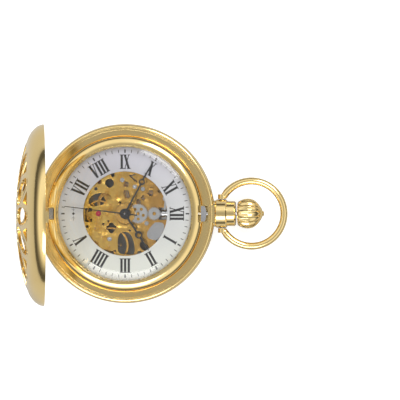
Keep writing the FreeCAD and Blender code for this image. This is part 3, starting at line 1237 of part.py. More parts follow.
def sliding_clutch():
    groove = ring(CENTRE, STEM_R + 0.2, 1.5, 10.9, 11.2)
    body = cut(disc(CENTRE, CLUTCH_R, 10.2, 11.85), [disc(CENTRE, STEM_R + CLUTCH_RUN, 9, 13), groove])
    notch = block(-0.12, 0.12, STEM_R - 0.05, 1.5, 0, 0.2)
    teeth = []
    for z in (10.1, 11.75):
        piece = notch.copy()
        piece.translate(V(0, 0, z))
        teeth += spin_copies(piece, 8)
    return along_stem(cut(body, teeth))


def setting_lever():
    """Lever whose pin sits in the stem's groove."""
    z0 = KEYLESS_Z[0]
    z1 = KEYLESS_Z[1]
    nose = (0.0, 14.35)
    pin = disc(nose, 0.14, STEM_Z + STEM_R - 0.13, z0 + 0.05)
    stud = disc(LEVER_PIVOT, STUD_R, PLATE_Z0 + 0.45, z1 + 0.1)
    return fuse([disc(LEVER_PIVOT, 0.9, z0, z1), bar(LEVER_PIVOT, nose, 0.6, z0, z1),
                 bar(LEVER_PIVOT, (4.7, 14.0), 0.7, z0, z1), pin, stud])


def yoke():
    """Lever whose nose sits in the clutch's groove."""
    z0 = KEYLESS_Z[0]
    z1 = KEYLESS_Z[1]
    nose = (-1.35, 11.05)
    finger = block(-1.45, -STEM_R - 0.31, 10.98, 11.12, STEM_Z - 0.1, z0 + 0.1)
    stud = disc(YOKE_PIVOT, STUD_R, PLATE_Z0 + 0.45, z1 + 0.1)
    return fuse([disc(YOKE_PIVOT, 0.8, z0, z1), bar(YOKE_PIVOT, nose, 0.55, z0, z1), finger, stud])


def setting_lever_spring():
    """Polished cover plate over the keyless works with a sprung finger."""
    z0 = PLATE_Z1
    z1 = PLATE_Z1 + 0.3
    sheet = prism([(2.4, 8.3), (2.5, 10.3), (3.2, 10.9), (4.4, 10.8), (6.4, 9.9), (7.3, 8.9), (7.4, 7.9),
                   (6.9, 6.5), (6.2, 6.05), (5.2, 6.1), (3.9, 6.9)], z0, z1)
    finger = [bar((4.6, 10.6), (5.2, 12.0), 0.6, z0, z1), bar((5.2, 12.0), (3.2, 12.5), 0.35, z0, z1)]
    screw = disc((5.9, 7.1), 0.45, z1 - 0.05, z1 + 0.16)
    slot = block(5.2, 6.6, 7.03, 7.17, z1 + 0.06, z1 + 1)
    return cut(fuse([sheet, screw] + finger), [slot])


def cannon_pinion():
    pinion = toothed_disc(CENTRE, CANNON_TEETH, MOTION_MODULE, 7.05, MOTION_WHEEL_Z[1], 0.0)
    pipe = disc(CENTRE, CANNON_R, 7.05, MINUTE_HAND_Z[1])
    return cut(fuse([pinion, pipe]), [disc(CENTRE, CENTRE_ARBOR_R, 0, 8.2), disc(CENTRE, 0.28, 8, 10)])


def minute_wheel():
    phase = mesh_phase(0.0, CANNON_TEETH, CENTRE, MINUTE_TEETH, MINUTE)
    wheel = toothed_disc(MINUTE, MINUTE_TEETH, MOTION_MODULE, MOTION_WHEEL_Z[0], MOTION_WHEEL_Z[1], phase)
    pinion = toothed_disc(MINUTE, MINUTE_PINION_TEETH, HOUR_MODULE, MOTION_WHEEL_Z[1], HOUR_WHEEL_Z[1], 0.0)
    holes = spin_copies(disc((MINUTE[0] + 1.5, MINUTE[1]), 0.45, 6, 9), 5, MINUTE)
    return cut(fuse([wheel, pinion]), [disc(MINUTE, 0.45, 0, 9)] + holes)


def hour_wheel():
    phase = mesh_phase(0.0, MINUTE_PINION_TEETH, MINUTE, HOUR_TEETH, CENTRE)
    wheel = toothed_disc(CENTRE, HOUR_TEETH, HOUR_MODULE, HOUR_WHEEL_Z[0], HOUR_WHEEL_Z[1], phase)
    pipe = disc(CENTRE, HOUR_PIPE_R, HOUR_WHEEL_Z[0], HOUR_HAND_Z[1])
    return cut(fuse([wheel, pipe]), [disc(CENTRE, CANNON_R + MOTION_RUN, 0, 12)])


def setting_wheel():
    minute_phase = mesh_phase(0.0, CANNON_TEETH, CENTRE, MINUTE_TEETH, MINUTE)
    phase = mesh_phase(minute_phase, MINUTE_TEETH, MINUTE, SETTING_TEETH, SETTING)
    wheel = toothed_disc(SETTING, SETTING_TEETH, MOTION_MODULE, MOTION_WHEEL_Z[0], MOTION_WHEEL_Z[1], phase)
    return cut(wheel, [disc(SETTING, 0.5, 0, 9)])


def sweep_seconds_arbor():
    phase = mesh_phase(0.0, SWEEP_TEETH, THIRD, SWEEP_PINION_TEETH, CENTRE)
    pinion = toothed_disc(CENTRE, SWEEP_PINION_TEETH, SWEEP_MODULE, 1.68, 2.2, phase)
    return fuse([pinion, disc(CENTRE, SECONDS_ARBOR_R, 1.68, SECONDS_HAND_Z[1])])


# ---- dial and hands ----
def dial():
    feet = [disc(clock_point(a, 14.6), 0.35, 6.9, DIAL_Z + 0.05) for a in (130, 350)]
    return fuse([ring(CENTRE, DIAL_HOLE_R, DIAL_R, DIAL_Z, DIAL_Z + DIAL_THICK)] + feet)


def point_hand(shape, angle):
    shape.rotate(V(0, 0, 0), UP, -angle)
    return shape


def breguet_hand(hub_r, bore_r, ring_at, ring_r, length, width, levels):
    """A slim hand with an off-centre hollow ring near its tip, pointing at 12."""
    z0 = levels[0]
    z1 = levels[1]
    near = ring_at - ring_r + 0.1
    far = ring_at + ring_r - 0.1
    stalk = prism([(-width / 2, 0), (width / 2, 0), (width * 0.36, near), (-width * 0.36, near)], z0, z1)
    tip = prism([(-width * 0.55, far), (width * 0.55, far), (0.06, length), (-0.06, length)], z0, z1)
    body = fuse([disc(CENTRE, hub_r, z0, z1), stalk, tip, disc((0, ring_at), ring_r, z0, z1)])
    hollow = disc((0, ring_at + ring_r * 0.12), ring_r * 0.6, z0 - 1, z1 + 1)
    return cut(body, [hollow, disc(CENTRE, bore_r, z0 - 1, z1 + 1)])


def hour_hand():
    return point_hand(breguet_hand(1.45, HOUR_PIPE_R, 7.0, 1.05, HOUR_LENGTH, 0.62, HOUR_HAND_Z),
                      HOUR_ANGLE)


def minute_hand():
    return point_hand(breguet_hand(1.1, CANNON_R, 10.0, 0.85, MINUTE_LENGTH, 0.5, MINUTE_HAND_Z),
                      MINUTE_ANGLE)


def seconds_hand():
    z0 = SECONDS_HAND_Z[0]
    z1 = SECONDS_HAND_Z[1]
    needle = prism([(-0.18, -3.5), (0.18, -3.5), (0.1, SECONDS_LENGTH), (-0.1, SECONDS_LENGTH)], z0, z1)
    body = fuse([needle, disc(CENTRE, 0.7, z0, z1)])
    return point_hand(cut(body, [disc(CENTRE, SECONDS_ARBOR_R, 0, 20)]), SECONDS_ANGLE)


NODES = (middle_case, front_lid, lid_hinge_pin, lid_lift_spring, lid_catch, front_bezel, front_crystal,
         rear_bezel, rear_crystal, pendant, bow, bow_pins, crown, movement_ring, case_clamps,
         case_clamp_screws, main_plate, barrel_bridge, train_bridge, balance_cock, pallet_bridge,
         bridge_screws, barrel_drum, barrel_cover, mainspring, barrel_arbor, ratchet_wheel,
         ratchet_screw, crown_wheel, crown_wheel_keeper, click, click_spring, centre_wheel,
         third_wheel, sweep_drive_wheel, fourth_wheel, escape_wheel, pallet_fork, pallet_stones,
         balance_wheel, balance_staff, hairspring, regulator, train_jewels, jewel_setting,
         winding_stem, winding_pinion, sliding_clutch, setting_lever, yoke, setting_lever_spring,
         setting_wheel, minute_wheel, cannon_pinion, hour_wheel, sweep_seconds_arbor, dial,
         hour_hand, minute_hand, seconds_hand)


def main():
    os.makedirs("parts", exist_ok=True)
    for build in NODES:
        shape = build()
        shape.exportStep("parts/" + build.__name__ + ".step")


main()
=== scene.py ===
# %% [markdown]
# # A pocket watch with its lid open
# The solid model of the watch comes in as a fixed frame: every plate, wheel and screw is already
# in place and has its true size. This lesson gives the pieces their metals, glass and paint, adds
# the printed dial, and sets up a small studio table.

# %% Load the frame
import json
import math
import bpy
import bmesh
from mathutils import Matrix, Vector


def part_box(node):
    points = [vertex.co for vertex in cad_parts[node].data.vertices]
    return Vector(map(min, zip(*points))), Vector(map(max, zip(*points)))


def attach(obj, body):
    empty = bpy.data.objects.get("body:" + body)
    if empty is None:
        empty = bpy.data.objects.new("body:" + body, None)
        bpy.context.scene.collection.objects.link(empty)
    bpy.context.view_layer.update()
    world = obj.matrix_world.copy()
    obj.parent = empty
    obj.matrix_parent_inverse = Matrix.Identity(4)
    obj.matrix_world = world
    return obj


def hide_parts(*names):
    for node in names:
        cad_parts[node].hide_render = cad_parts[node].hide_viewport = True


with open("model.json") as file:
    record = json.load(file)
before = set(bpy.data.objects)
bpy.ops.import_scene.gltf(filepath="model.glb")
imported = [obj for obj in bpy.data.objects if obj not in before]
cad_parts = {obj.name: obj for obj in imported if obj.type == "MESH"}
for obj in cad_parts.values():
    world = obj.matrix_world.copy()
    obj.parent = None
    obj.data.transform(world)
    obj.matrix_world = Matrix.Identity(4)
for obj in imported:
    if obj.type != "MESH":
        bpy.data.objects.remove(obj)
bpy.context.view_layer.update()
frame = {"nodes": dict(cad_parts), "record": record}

MM = 0.001
RECORD = frame["record"]
BODY_OF = {node: body for body, nodes in RECORD["behaviour"]["bodies"].items() for node in nodes}
SLOT_OF = {part["node"]: part["material_slot"] for part in RECORD["subparts"]}

# %% [markdown]
# ## Writing shaders as sums
# A finish is easier to read as a formula than as a list of links. The class below wraps one
# socket, and adding or multiplying two of them adds the matching Math node. Colours go through
# Mix nodes instead, because a Math node would turn them grey.

# %% A socket that can be added and multiplied
class Wire:
    """One output of a node tree, with arithmetic."""

    def __init__(self, tree, socket):
        self.tree = tree
        self.socket = socket

    def math(self, operation, *values, clamp=False):
        node = self.tree.nodes.new("ShaderNodeMath")
        node.operation = operation
        node.use_clamp = clamp
        for place, value in enumerate(values):
            if isinstance(value, Wire):
                self.tree.links.new(value.socket, node.inputs[place])
            else:
                node.inputs[place].default_value = value
        return Wire(self.tree, node.outputs[0])

    def __add__(self, other):
        return self.math("ADD", self, other)

    def __sub__(self, other):
        return self.math("SUBTRACT", self, other)

    def __mul__(self, other):
        return self.math("MULTIPLY", self, other)

    def __truediv__(self, other):
        return self.math("DIVIDE", self, other)

    def __radd__(self, other):
        return self.math("ADD", other, self)

    def __rsub__(self, other):
        return self.math("SUBTRACT", other, self)

    def __rmul__(self, other):
        return self.math("MULTIPLY", other, self)

    def __rtruediv__(self, other):
        return self.math("DIVIDE", other, self)

    def clamped(self):
        return self.math("ADD", self, 0.0, clamp=True)


# %% One helper for every other node
class NodeBook:
    """An emptied node tree, with one method that adds any node."""

    def __init__(self, owner):
        owner.use_nodes = True
        self.tree = owner.node_tree
        self.tree.nodes.clear()

    def node(self, kind, settings=None, values=None, out=0):
        node = self.tree.nodes.new(kind)
        for key, value in (settings or {}).items():
            if key == "stops":
                self.set_stops(node.color_ramp, value)
            else:
                setattr(node, key, value)
        for key, value in (values or {}).items():
            if isinstance(value, Wire):
                self.tree.links.new(value.socket, node.inputs[key])
            else:
                node.inputs[key].default_value = value
        return Wire(self.tree, node.outputs[out]) if len(node.outputs) else None

    def set_stops(self, ramp, stops):
        for index, (place, colour) in enumerate(stops):
            stop = ramp.elements[index] if index < 2 else ramp.elements.new(place)
            stop.position = place
            stop.color = colour


def rgb(red, green, blue):
    return (red, green, blue, 1.0)


print("node helper ready:", NodeBook.__name__)


# %% A material under construction
class Finish(NodeBook):
    """A material, with the few patterns that the finishes share."""

    def __init__(self, name):
        self.material = bpy.data.materials.new("look_" + name)
        super().__init__(self.material)

    def place(self, at=(0, 0, 0), scale=(1, 1, 1), turn=(0, 0, 0)):
        """Object coordinates, moved so that a pattern is centred on a piece."""
        where = self.node("ShaderNodeTexCoord", out=3)
        back = self.node("ShaderNodeVectorMath", {"operation": "SUBTRACT"}, {0: where, 1: at})
        return self.node("ShaderNodeMapping", {},
                         {"Vector": back, "Scale": scale, "Rotation": turn})

    def noise(self, where, scale, detail=3.0, rough=0.55):
        return self.node("ShaderNodeTexNoise", {},
                         {"Vector": where, "Scale": scale, "Detail": detail, "Roughness": rough})

    def blend(self, factor, first, second):
        """A colour between two colours."""
        return self.node("ShaderNodeMix", {"data_type": "RGBA"},
                         {0: factor, 6: first, 7: second}, out=2)

    def bump(self, height, strength, distance, edge=0.0):
        """Fine relief; edge is the radius by which sharp corners look rubbed round."""
        values = {"Height": height, "Strength": strength, "Distance": distance}
        if edge > 0.0:
            values["Normal"] = self.node("ShaderNodeBevel", {"samples": 4}, {"Radius": edge})
        return self.node("ShaderNodeBump", {}, values)

    def along(self, axis, low, high):
        """0 to 1 along one axis of the object, between two places in metres."""
        split = self.node("ShaderNodeSeparateXYZ", {}, {0: self.place()}, out="XYZ".index(axis))
        return ((split - low) / (high - low)).clamped()

    def surface(self, **values):
        keys = {key.replace("_", " "): value for key, value in values.items()}
        shader = self.node("ShaderNodeBsdfPrincipled", {}, keys)
        self.node("ShaderNodeOutputMaterial", {}, {"Surface": shader})
        return self.material


print("finish helper ready:", Finish.__name__)

# %% [markdown]
# ## The golds
# Case, pendant, crown and bow are brass with a thick layer of polished gold. Even a fresh one is
# not a flat colour: polishing leaves faint waves, handling leaves hairline scratches, and the
# tone drifts a little. Those three are the whole recipe: slow noise for the tone and the waves,
# and fine stretched noise for the scratches.

# %% Polished gold of the case
def polished_gold(name, light, deep, shine, scratch=0.05):
    made = Finish(name)
    where = made.place()
    tone = made.noise(where, 90.0, 2.0)
    hairs = made.noise(made.place(scale=(1.0, 14.0, 3.0), turn=(0.2, 0.3, 0.7)), 420.0, 3.0)
    wave = made.noise(where, 260.0, 1.0)
    roughness = shine + scratch * (hairs - 0.4).clamped() + 0.04 * tone
    bump = made.bump(hairs * 0.3 + wave, 0.06, 0.00004, 0.00012)
    return made.surface(Base_Color=made.blend(tone, light, deep), Metallic=1.0, Roughness=roughness,
                        Normal=bump)


CASE_GOLD = polished_gold("polished_gold", rgb(0.92, 0.73, 0.37), rgb(0.83, 0.61, 0.25), 0.09)
print("made", CASE_GOLD.name)

# %% [markdown]
# The plates of the movement are gilt brass with a fine grain and hand-finished hollows, a little
# redder and duller than the case, and their upper half is painted browner as painted shade. The
# wheels take the same recipe in a brighter brass. A small rounding of the shading stands in for
# rubbed edges, so the solid pieces keep their exact shape.

# %% Grained gold of the plates, bright gold of the wheels
def satin_gold(name, light, deep, grain, roughness, painted_shade=None):
    """The last argument, if given, is a browner colour painted as shade over the top half of the
    movement.
    """
    made = Finish(name)
    where = made.place()
    tone = made.noise(where, 300.0, 3.0)
    speck = made.noise(where, grain, 4.0, 0.7)
    blotch = made.noise(where, 900.0, 3.0, 0.6)
    swell = made.noise(where, 330.0, 1.0)
    dull = roughness + 0.16 * speck
    bump = made.bump(speck * 0.3 + swell * 9.0, 0.8, 0.00008, 0.00026)
    share = (tone * 0.7 + speck * 0.3 + (blotch - 0.5) * 0.9).clamped()
    colour = made.blend(share, light, deep)
    # painted shade: the top half of the movement is blended towards a browner colour
    if painted_shade is not None:
        colour = made.blend(made.along("Y", -0.006, 0.009) * 0.75, colour, painted_shade)
    return made.surface(Base_Color=colour, Metallic=1.0, Roughness=dull, Normal=bump)


# the last colour of the plates is painted shade for the top half of the movement
PLATE_GOLD = satin_gold("satin_gold", rgb(1.00, 0.72, 0.20), rgb(0.62, 0.34, 0.06), 2600.0, 0.13,
                        rgb(0.50, 0.26, 0.08))
WHEEL_GOLD = satin_gold("wheel_brass", rgb(0.90, 0.58, 0.18), rgb(0.62, 0.36, 0.09), 4200.0, 0.16)
print("made", PLATE_GOLD.name, WHEEL_GOLD.name)

# %% [markdown]
# ## Steel, springs and rubies
# Screws, levers and pinions are polished steel. The springs are tempered, which leaves a
# blue-grey skin. The bearings are synthetic ruby: dark red and very smooth, under a clear coat.

# %% Steels and ruby
def steel(name, light, deep, roughness, grain):
    made = Finish(name)
    where = made.place(scale=(1.0, 6.0, 1.0))
    lines = made.noise(where, grain, 3.0, 0.6)
    cloud = made.noise(made.place(), 500.0, 2.0)
    bump = made.bump(lines, 0.1, 0.00002, 0.00006)
    return made.surface(Base_Color=made.blend(cloud, light, deep), Metallic=1.0,
                        Roughness=roughness + 0.12 * lines, Normal=bump)


def ruby(name):
    made = Finish(name)
    cloud = made.noise(made.place(), 900.0, 2.0)
    colour = made.blend(cloud, rgb(0.62, 0.02, 0.07), rgb(0.36, 0.0, 0.03))
    return made.surface(Base_Color=colour, Roughness=0.06 + 0.05 * cloud, Coat_Weight=0.6,
                        Coat_Roughness=0.03)


POLISHED_STEEL = steel("polished_steel", rgb(0.72, 0.73, 0.75), rgb(0.52, 0.53, 0.56), 0.12, 3000.0)
GRAINED_STEEL = steel("brushed_steel", rgb(0.60, 0.61, 0.62), rgb(0.42, 0.43, 0.45), 0.26, 4500.0)
SPRING_STEEL = steel("blued_spring", rgb(0.42, 0.45, 0.52), rgb(0.26, 0.29, 0.38), 0.18, 5200.0)
RUBY = ruby("ruby")
print("made", POLISHED_STEEL.name, GRAINED_STEEL.name, SPRING_STEEL.name, RUBY.name)

# %% [markdown]
# ## Glass, dial paint and black lacquer
# A watch glass seen from the front is almost invisible, and its edge reflects. The share of light
# it reflects follows the Fresnel law, so that share drives how solid the surface is, and the part
# that is there is a clean mirror. The dial has a silvery white paint with a faint brushed grain,
# and the hands and the printed numerals are glossy black.

# %% Crystal, dial and lacquer
def crystal(name):
    made = Finish(name)
    edge = made.node("ShaderNodeFresnel", {}, {"IOR": 1.5})
    smear = made.noise(made.place(), 120.0, 2.0)
    return made.surface(Base_Color=rgb(1.0, 1.0, 1.0), Metallic=1.0, Roughness=0.015 + 0.02 * smear,
                        Alpha=(edge * 0.7).clamped())


def dial_paint(name):
    made = Finish(name)
    cloud = made.noise(made.place(), 60.0, 2.0)
    grain = made.noise(made.place(scale=(1.0, 9.0, 1.0)), 1500.0, 3.0)
    # painted light and shade: the dial is darker and bluer towards -X, lighter and greener towards +X
    painted_shade_side = made.blend(cloud * 0.6 + grain * 0.4, rgb(0.60, 0.60, 0.68), rgb(0.52, 0.52, 0.59))
    painted_light_side = made.blend(cloud * 0.6 + grain * 0.4, rgb(0.80, 0.83, 0.79), rgb(0.70, 0.73, 0.69))
    colour = made.blend(made.along("X", -0.016, 0.014), painted_shade_side, painted_light_side)
    return made.surface(Base_Color=colour, Metallic=0.15, Roughness=0.34 + 0.12 * grain,
                        Normal=made.bump(grain, 0.06, 0.00002, 0.00005))


def lacquer(name, colour, second):
    made = Finish(name)
    cloud = made.noise(made.place(), 1200.0, 3.0)
    return made.surface(Base_Color=made.blend(cloud, colour, second), Roughness=0.22 + 0.2 * cloud,
                        Coat_Weight=0.5, Coat_Roughness=0.08, Normal=made.bump(cloud, 0.05, 0.00001))


CRYSTAL = crystal("crystal")
DIAL_PAINT = dial_paint("dial_enamel")
LACQUER = lacquer("black_lacquer", rgb(0.008, 0.008, 0.010), rgb(0.022, 0.022, 0.026))
FINISHES = {"polished_gold": CASE_GOLD, "satin_gold": PLATE_GOLD, "wheel_brass": WHEEL_GOLD,
            "polished_steel": POLISHED_STEEL, "brushed_steel": GRAINED_STEEL,
            "blued_spring": SPRING_STEEL, "ruby": RUBY, "crystal": CRYSTAL,
            "dial_enamel": DIAL_PAINT, "black_lacquer": LACQUER}

# %% Put each finish on the solid pieces
for node_name, piece in frame["nodes"].items():
    for place in piece.material_slots:
        place.material = FINISHES[SLOT_OF[node_name]]
print("painted", len(frame["nodes"]), "pieces with", len(FINISHES), "finishes")

# %% [markdown]
# ## The printed dial
# Numerals and minute strokes are pad-printed: a film of black paint a few hundredths of a
# millimetre thick. Each stroke is a thin block, and a slanted stroke of a V or X is the same block
# sheared sideways, so that its top and bottom stay level and can carry serifs. Every numeral
# stands on the dial with its foot towards the centre. A small diamond takes the place at 6.

# %% Sizes of the print, and helpers for thin blocks
DIAL_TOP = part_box("dial")[1].z
PRINT_THICK = 0.03 * MM
LETTER_HIGH = 4.0 * MM
THICK = 0.64 * MM
THIN = 0.22 * MM
SERIF_HIGH = 0.2 * MM
NUMERAL_R = 14.5 * MM


def new_mesh(name, shape, slot_name, body):
    """Turn a finished bmesh into an object that rides on a body."""
    mesh = bpy.data.meshes.new(name)
    shape.to_mesh(mesh)
    shape.free()
    piece = bpy.data.objects.new(name, mesh)
    bpy.context.scene.collection.objects.link(piece)
    mesh.materials.append(FINISHES[slot_name])
    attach(piece, body)
    return piece


def stroke(shape, frame_at, centre, size, lean=0.0):
    """A thin block; lean moves its top sideways by that much."""
    shear = Matrix.Identity(4)
    shear[0][1] = lean / size[1]
    scale = Matrix.Diagonal((size[0], size[1], PRINT_THICK, 1.0))
    matrix = frame_at @ Matrix.Translation((centre[0], centre[1], 0.0)) @ shear @ scale
    bmesh.ops.create_cube(shape, size=1.0, matrix=matrix)


def dial_place(angle, radius):
    """The frame of a print that stands upright at a clock angle: foot towards the centre."""
    turn = Matrix.Rotation(-math.radians(angle), 4, "Z")
    return turn @ Matrix.Translation((0.0, radius, DIAL_TOP + PRINT_THICK / 2))


print("dial top at", round(DIAL_TOP / MM, 3), "mm")

# %% Roman letters from strokes
def serif(shape, at, x, y, wide):
    stroke(shape, at, (x, y), (wide, SERIF_HIGH))


def letter_i(shape, at, x):
    stroke(shape, at, (x, 0), (THICK, LETTER_HIGH))
    for side in (-1, 1):
        serif(shape, at, x, side * (LETTER_HIGH - SERIF_HIGH) / 2, THICK + 0.44 * MM)


def letter_v(shape, at, x):
    lean = 0.55 * MM
    top = (LETTER_HIGH - SERIF_HIGH) / 2
    stroke(shape, at, (x - lean / 2, 0), (THICK, LETTER_HIGH), -lean)
    stroke(shape, at, (x + lean / 2 + 0.06 * MM, 0), (THIN, LETTER_HIGH), lean)
    serif(shape, at, x - lean, top, THICK + 0.4 * MM)
    serif(shape, at, x + lean + 0.06 * MM, top, THIN + 0.5 * MM)


def letter_x(shape, at, x):
    lean = 1.15 * MM
    end = (LETTER_HIGH - SERIF_HIGH) / 2
    stroke(shape, at, (x, 0), (THICK, LETTER_HIGH), -lean)
    stroke(shape, at, (x, 0), (THIN, LETTER_HIGH), lean)
    for side in (-1, 1):
        serif(shape, at, x - side * lean / 2, side * end, THICK + 0.36 * MM)
        serif(shape, at, x + side * lean / 2, side * end, THIN + 0.46 * MM)


LETTERS = {"I": (letter_i, 1.02 * MM), "V": (letter_v, 1.8 * MM), "X": (letter_x, 1.8 * MM)}
NUMERALS = {1: "I", 2: "II", 3: "III", 4: "IIII", 5: "V", 7: "VII", 8: "VIII", 9: "IX", 10: "X",
            11: "XI", 12: "XII"}
print("numerals:", " ".join(NUMERALS.values()))

# %% Print the numerals, the minute track and the ornament
MINUTE_R = 17.45 * MM
FIFTH_STROKE = (0.40 * MM, 0.95 * MM)
MINUTE_STROKE = (0.19 * MM, 0.85 * MM)
DIAMOND = 0.62 * MM


def print_numerals():
    shape = bmesh.new()
    for hour, word in NUMERALS.items():
        at = dial_place(30 * hour, NUMERAL_R)
        wide = sum(LETTERS[letter][1] for letter in word)
        x = -wide / 2
        for letter in word:
            draw, step = LETTERS[letter]
            draw(shape, at, x + step / 2)
            x += step
    return new_mesh("dial_numerals", shape, "black_lacquer", "case")


def print_minutes():
    shape = bmesh.new()
    for minute in range(60):
        size = MINUTE_STROKE if minute % 5 else FIFTH_STROKE
        stroke(shape, dial_place(6 * minute, MINUTE_R), (0, 0), size)
    return new_mesh("dial_minute_track", shape, "black_lacquer", "case")


def print_diamond():
    """A plain ornament of a diamond between two pairs of fine leaves."""
    shape = bmesh.new()
    at = dial_place(180, NUMERAL_R)
    turned = at @ Matrix.Rotation(math.radians(45), 4, "Z")
    stroke(shape, turned, (0, 0), (DIAMOND, DIAMOND))
    for side in (-1, 1):
        stroke(shape, at, (side * 1.35 * MM, 0), (1.3 * MM, 0.10 * MM))
        for leaf in (1, -1):
            stroke(shape, at, (side * 1.2 * MM, leaf * 0.3 * MM), (0.08 * MM, 0.5 * MM),
                   leaf * side * 0.4 * MM)
    return new_mesh("dial_ornament", shape, "black_lacquer", "case")


for printed in (print_numerals(), print_minutes(), print_diamond()):
    print(printed.name, len(printed.data.polygons), "faces")

# %% [markdown]
# ## The winding crown
# The crown is a fluted onion: a turned bulb with scallops milled along it, so that fingers grip
# it. It could be cut with cylinders, but the cuts would meet in ragged triangles. Here it is made
# as on a lathe: the outline is spun round the stem's axis, and every point is then drawn in by
# the depth of its scallop. The scallops run out at both ends, where the cutter leaves the metal,
# and the crests stay round.

# %% A fluted bulb
CROWN_LOW, CROWN_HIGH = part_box("crown")
CROWN_AXIS_Z = (CROWN_LOW.z + CROWN_HIGH.z) / 2
CROWN_WIDE = (CROWN_HIGH.x - CROWN_LOW.x) / 2 * 0.998
CROWN_BASE = CROWN_HIGH.y - 7.3 * MM
CROWN_FLUTES = 18
STEPS_PER_FLUTE = 10
FLUTE_DEPTH = 0.085
FLUTE_START = 0.2 * MM
FLUTE_END = 6.7 * MM
FLUTE_RUN_OUT = 1.2 * MM
# Height above the base in millimetres, and share of the full radius.
CROWN_PROFILE = ((0.0, 0.16), (0.0, 0.74), (0.1, 0.79), (0.5, 0.85), (1.2, 0.93), (2.0, 0.985),
                 (2.8, 1.0), (3.6, 0.98), (4.4, 0.915), (5.1, 0.80), (5.7, 0.655), (6.2, 0.50),
                 (6.55, 0.37), (6.75, 0.27), (6.85, 0.20), (7.0, 0.17), (7.2, 0.155), (7.3, 0.11))


def mill_flutes(shape):
    """Draw each point of the turned bulb towards the axis by the depth of its scallop."""
    for point in shape.verts:
        height = point.co.y - CROWN_BASE
        run = min(height - FLUTE_START, FLUTE_END - height) / FLUTE_RUN_OUT
        depth = FLUTE_DEPTH * max(0.0, min(1.0, run))
        angle = math.atan2(point.co.x, point.co.z - CROWN_AXIS_Z)
        keep = 1 - depth * (0.5 + 0.5 * math.cos(CROWN_FLUTES * angle)) ** 0.7
        point.co.x *= keep
        point.co.z = CROWN_AXIS_Z + (point.co.z - CROWN_AXIS_Z) * keep


def fluted_crown():
    shape = bmesh.new()
    outline = [shape.verts.new((0.0, CROWN_BASE + height * MM, CROWN_AXIS_Z + CROWN_WIDE * share))
               for height, share in CROWN_PROFILE]
    edges = [shape.edges.new(pair) for pair in zip(outline, outline[1:])]
    bmesh.ops.spin(shape, geom=outline + edges, cent=(0.0, CROWN_BASE, CROWN_AXIS_Z),
                   axis=(0.0, 1.0, 0.0), angle=2 * math.pi, steps=CROWN_FLUTES * STEPS_PER_FLUTE,
                   use_merge=True)
    mill_flutes(shape)
    bmesh.ops.holes_fill(shape, edges=[edge for edge in shape.edges if edge.is_boundary], sides=0)
    bmesh.ops.recalc_face_normals(shape, faces=shape.faces)
    for face in shape.faces:
        face.smooth = len(face.verts) == 4
    piece = new_mesh("fluted_crown", shape, "polished_gold", BODY_OF["crown"])
    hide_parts("crown")
    return piece


print("crown faces:", len(fluted_crown().data.polygons))

# %% [markdown]
# ## The table, the light and the camera
# The watch lies on a plain pale table under soft light. Polished gold shows whatever surrounds
# it, so the surroundings are a gentle sky: bright overhead and on one side, darker near the
# horizon, which gives the metal its brown edges. The camera sees a plain pale backdrop instead.
# The table glows faintly towards the camera, which keeps it pale without lighting the metal from
# below, and it doesn't glow under the watch, so the see-through movement stays dark.

# %% Floor
TABLE_HALF = 1.5
GLOW_START_R = 0.0215
GLOW_FADE = 0.0030


def make_floor():
    shape = bmesh.new()
    bmesh.ops.create_grid(shape, x_segments=1, y_segments=1, size=TABLE_HALF)
    mesh = bpy.data.meshes.new("table_top")
    shape.to_mesh(mesh)
    shape.free()
    floor = bpy.data.objects.new("table_top", mesh)
    bpy.context.scene.collection.objects.link(floor)
    made = Finish("pale_table")
    cloud = made.noise(made.place(), 3.0, 2.0)
    white = made.blend(cloud, rgb(0.52, 0.52, 0.52), rgb(0.49, 0.49, 0.49))
    away = made.node("ShaderNodeVectorMath", {"operation": "LENGTH"}, {0: made.place()}, out=1)
    clear = ((away - GLOW_START_R) / GLOW_FADE).clamped()
    glow = made.blend(clear * made.node("ShaderNodeLightPath"), rgb(0.0, 0.0, 0.0), rgb(1.0, 1.0, 1.0))
    mesh.materials.append(made.surface(Base_Color=white, Roughness=0.8, Emission_Color=glow,
                                       Emission_Strength=0.72))
    return floor


print("table:", make_floor().name)

# %% Sky
# Height of the sky from the horizon to overhead, and its brightness there.
SKY_LEVELS = ((0.0, 0.14), (0.16, 0.10), (0.34, 0.42), (0.55, 1.20), (0.86, 1.15), (1.0, 0.50))
SKY_STRENGTH = 0.92


def make_sky():
    world = bpy.data.worlds.new("studio_sky")
    bpy.context.scene.world = world
    sky = NodeBook(world)
    height = sky.node("ShaderNodeSeparateXYZ", {}, {0: sky.node("ShaderNodeTexCoord")}, out=2)
    stops = [(place, rgb(level, level * 0.99, level * 0.965)) for place, level in SKY_LEVELS]
    ramp = sky.node("ShaderNodeValToRGB", {"stops": stops}, {0: height})
    lit = sky.node("ShaderNodeBackground", {}, {"Color": ramp, "Strength": SKY_STRENGTH})
    seen = sky.node("ShaderNodeBackground", {}, {"Color": rgb(1.0, 1.0, 1.0)})
    pick = sky.node("ShaderNodeMixShader", {}, {0: sky.node("ShaderNodeLightPath"), 1: lit, 2: seen})
    sky.node("ShaderNodeOutputWorld", {}, {"Surface": pick})
    return world


print("sky:", make_sky().name)

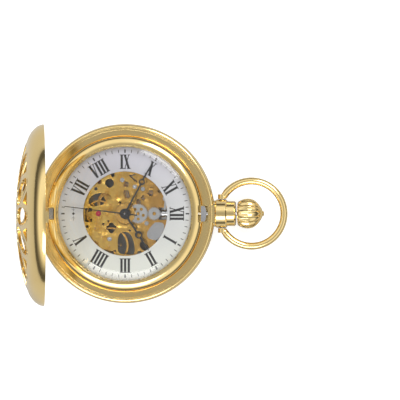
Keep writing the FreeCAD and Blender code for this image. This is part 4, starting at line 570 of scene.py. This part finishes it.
# %% Two soft boxes
def soft_box(name, at, aim, size, power):
    lamp = bpy.data.lights.new(name, "AREA")
    lamp.shape = "RECTANGLE"
    lamp.size = size[0]
    lamp.size_y = size[1]
    lamp.energy = power
    box = bpy.data.objects.new(name, lamp)
    box.location = at
    box.rotation_euler = (Vector(at) - Vector(aim)).to_track_quat("Z", "Y").to_euler()
    bpy.context.scene.collection.objects.link(box)


soft_box("key_light", (-0.45, 0.25, 0.55), (0, 0, 0), (0.35, 0.35), 2.6)
soft_box("fill_light", (0.40, -0.10, 0.60), (0, 0, 0), (0.45, 0.30), 1.6)
bpy.context.scene.view_settings.view_transform = "Standard"

# %% [markdown]
# The camera looks almost straight down from about a metre, leaning a few degrees towards the
# crown, so that the open lid is seen nearly edge on. A long lens keeps the case round. Where the
# hub of the hands falls in the frame is given as a share of its width and height.

# %% Camera
HUB = Vector((0.0, 0.0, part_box("seconds_hand")[1].z))
CAMERA_FAR = 1.10
SENSOR_MM = 36.0
TILT_Y = math.radians(4.6)
TILT_X = math.radians(-0.9)
FRAME_MM = 111.27
HUB_AT = (0.3105, 0.5345)


def make_camera():
    aim_y = (0.5 - HUB_AT[0]) * FRAME_MM * MM
    aim_x = (0.5 - HUB_AT[1]) * FRAME_MM * MM
    aim = HUB + Vector((aim_x, aim_y, 0.0))
    lens = bpy.data.cameras.new("watch_camera")
    lens.sensor_width = SENSOR_MM
    lens.lens = SENSOR_MM * CAMERA_FAR / (FRAME_MM * MM)
    lens.clip_start = 0.05
    camera = bpy.data.objects.new("watch_camera", lens)
    lean = (math.sin(TILT_X), math.sin(TILT_Y), math.cos(TILT_X) * math.cos(TILT_Y))
    back = Vector(lean).normalized()
    camera.location = aim + back * CAMERA_FAR
    right = (Vector((0, 1, 0)) - back * back.y).normalized()
    up = back.cross(right)
    camera.matrix_world = Matrix((
        (right.x, up.x, back.x, camera.location.x), (right.y, up.y, back.y, camera.location.y),
        (right.z, up.z, back.z, camera.location.z), (0, 0, 0, 1)))
    bpy.context.scene.collection.objects.link(camera)
    bpy.context.scene.camera = camera
    return camera


print("camera lens", round(make_camera().data.lens, 1), "mm")
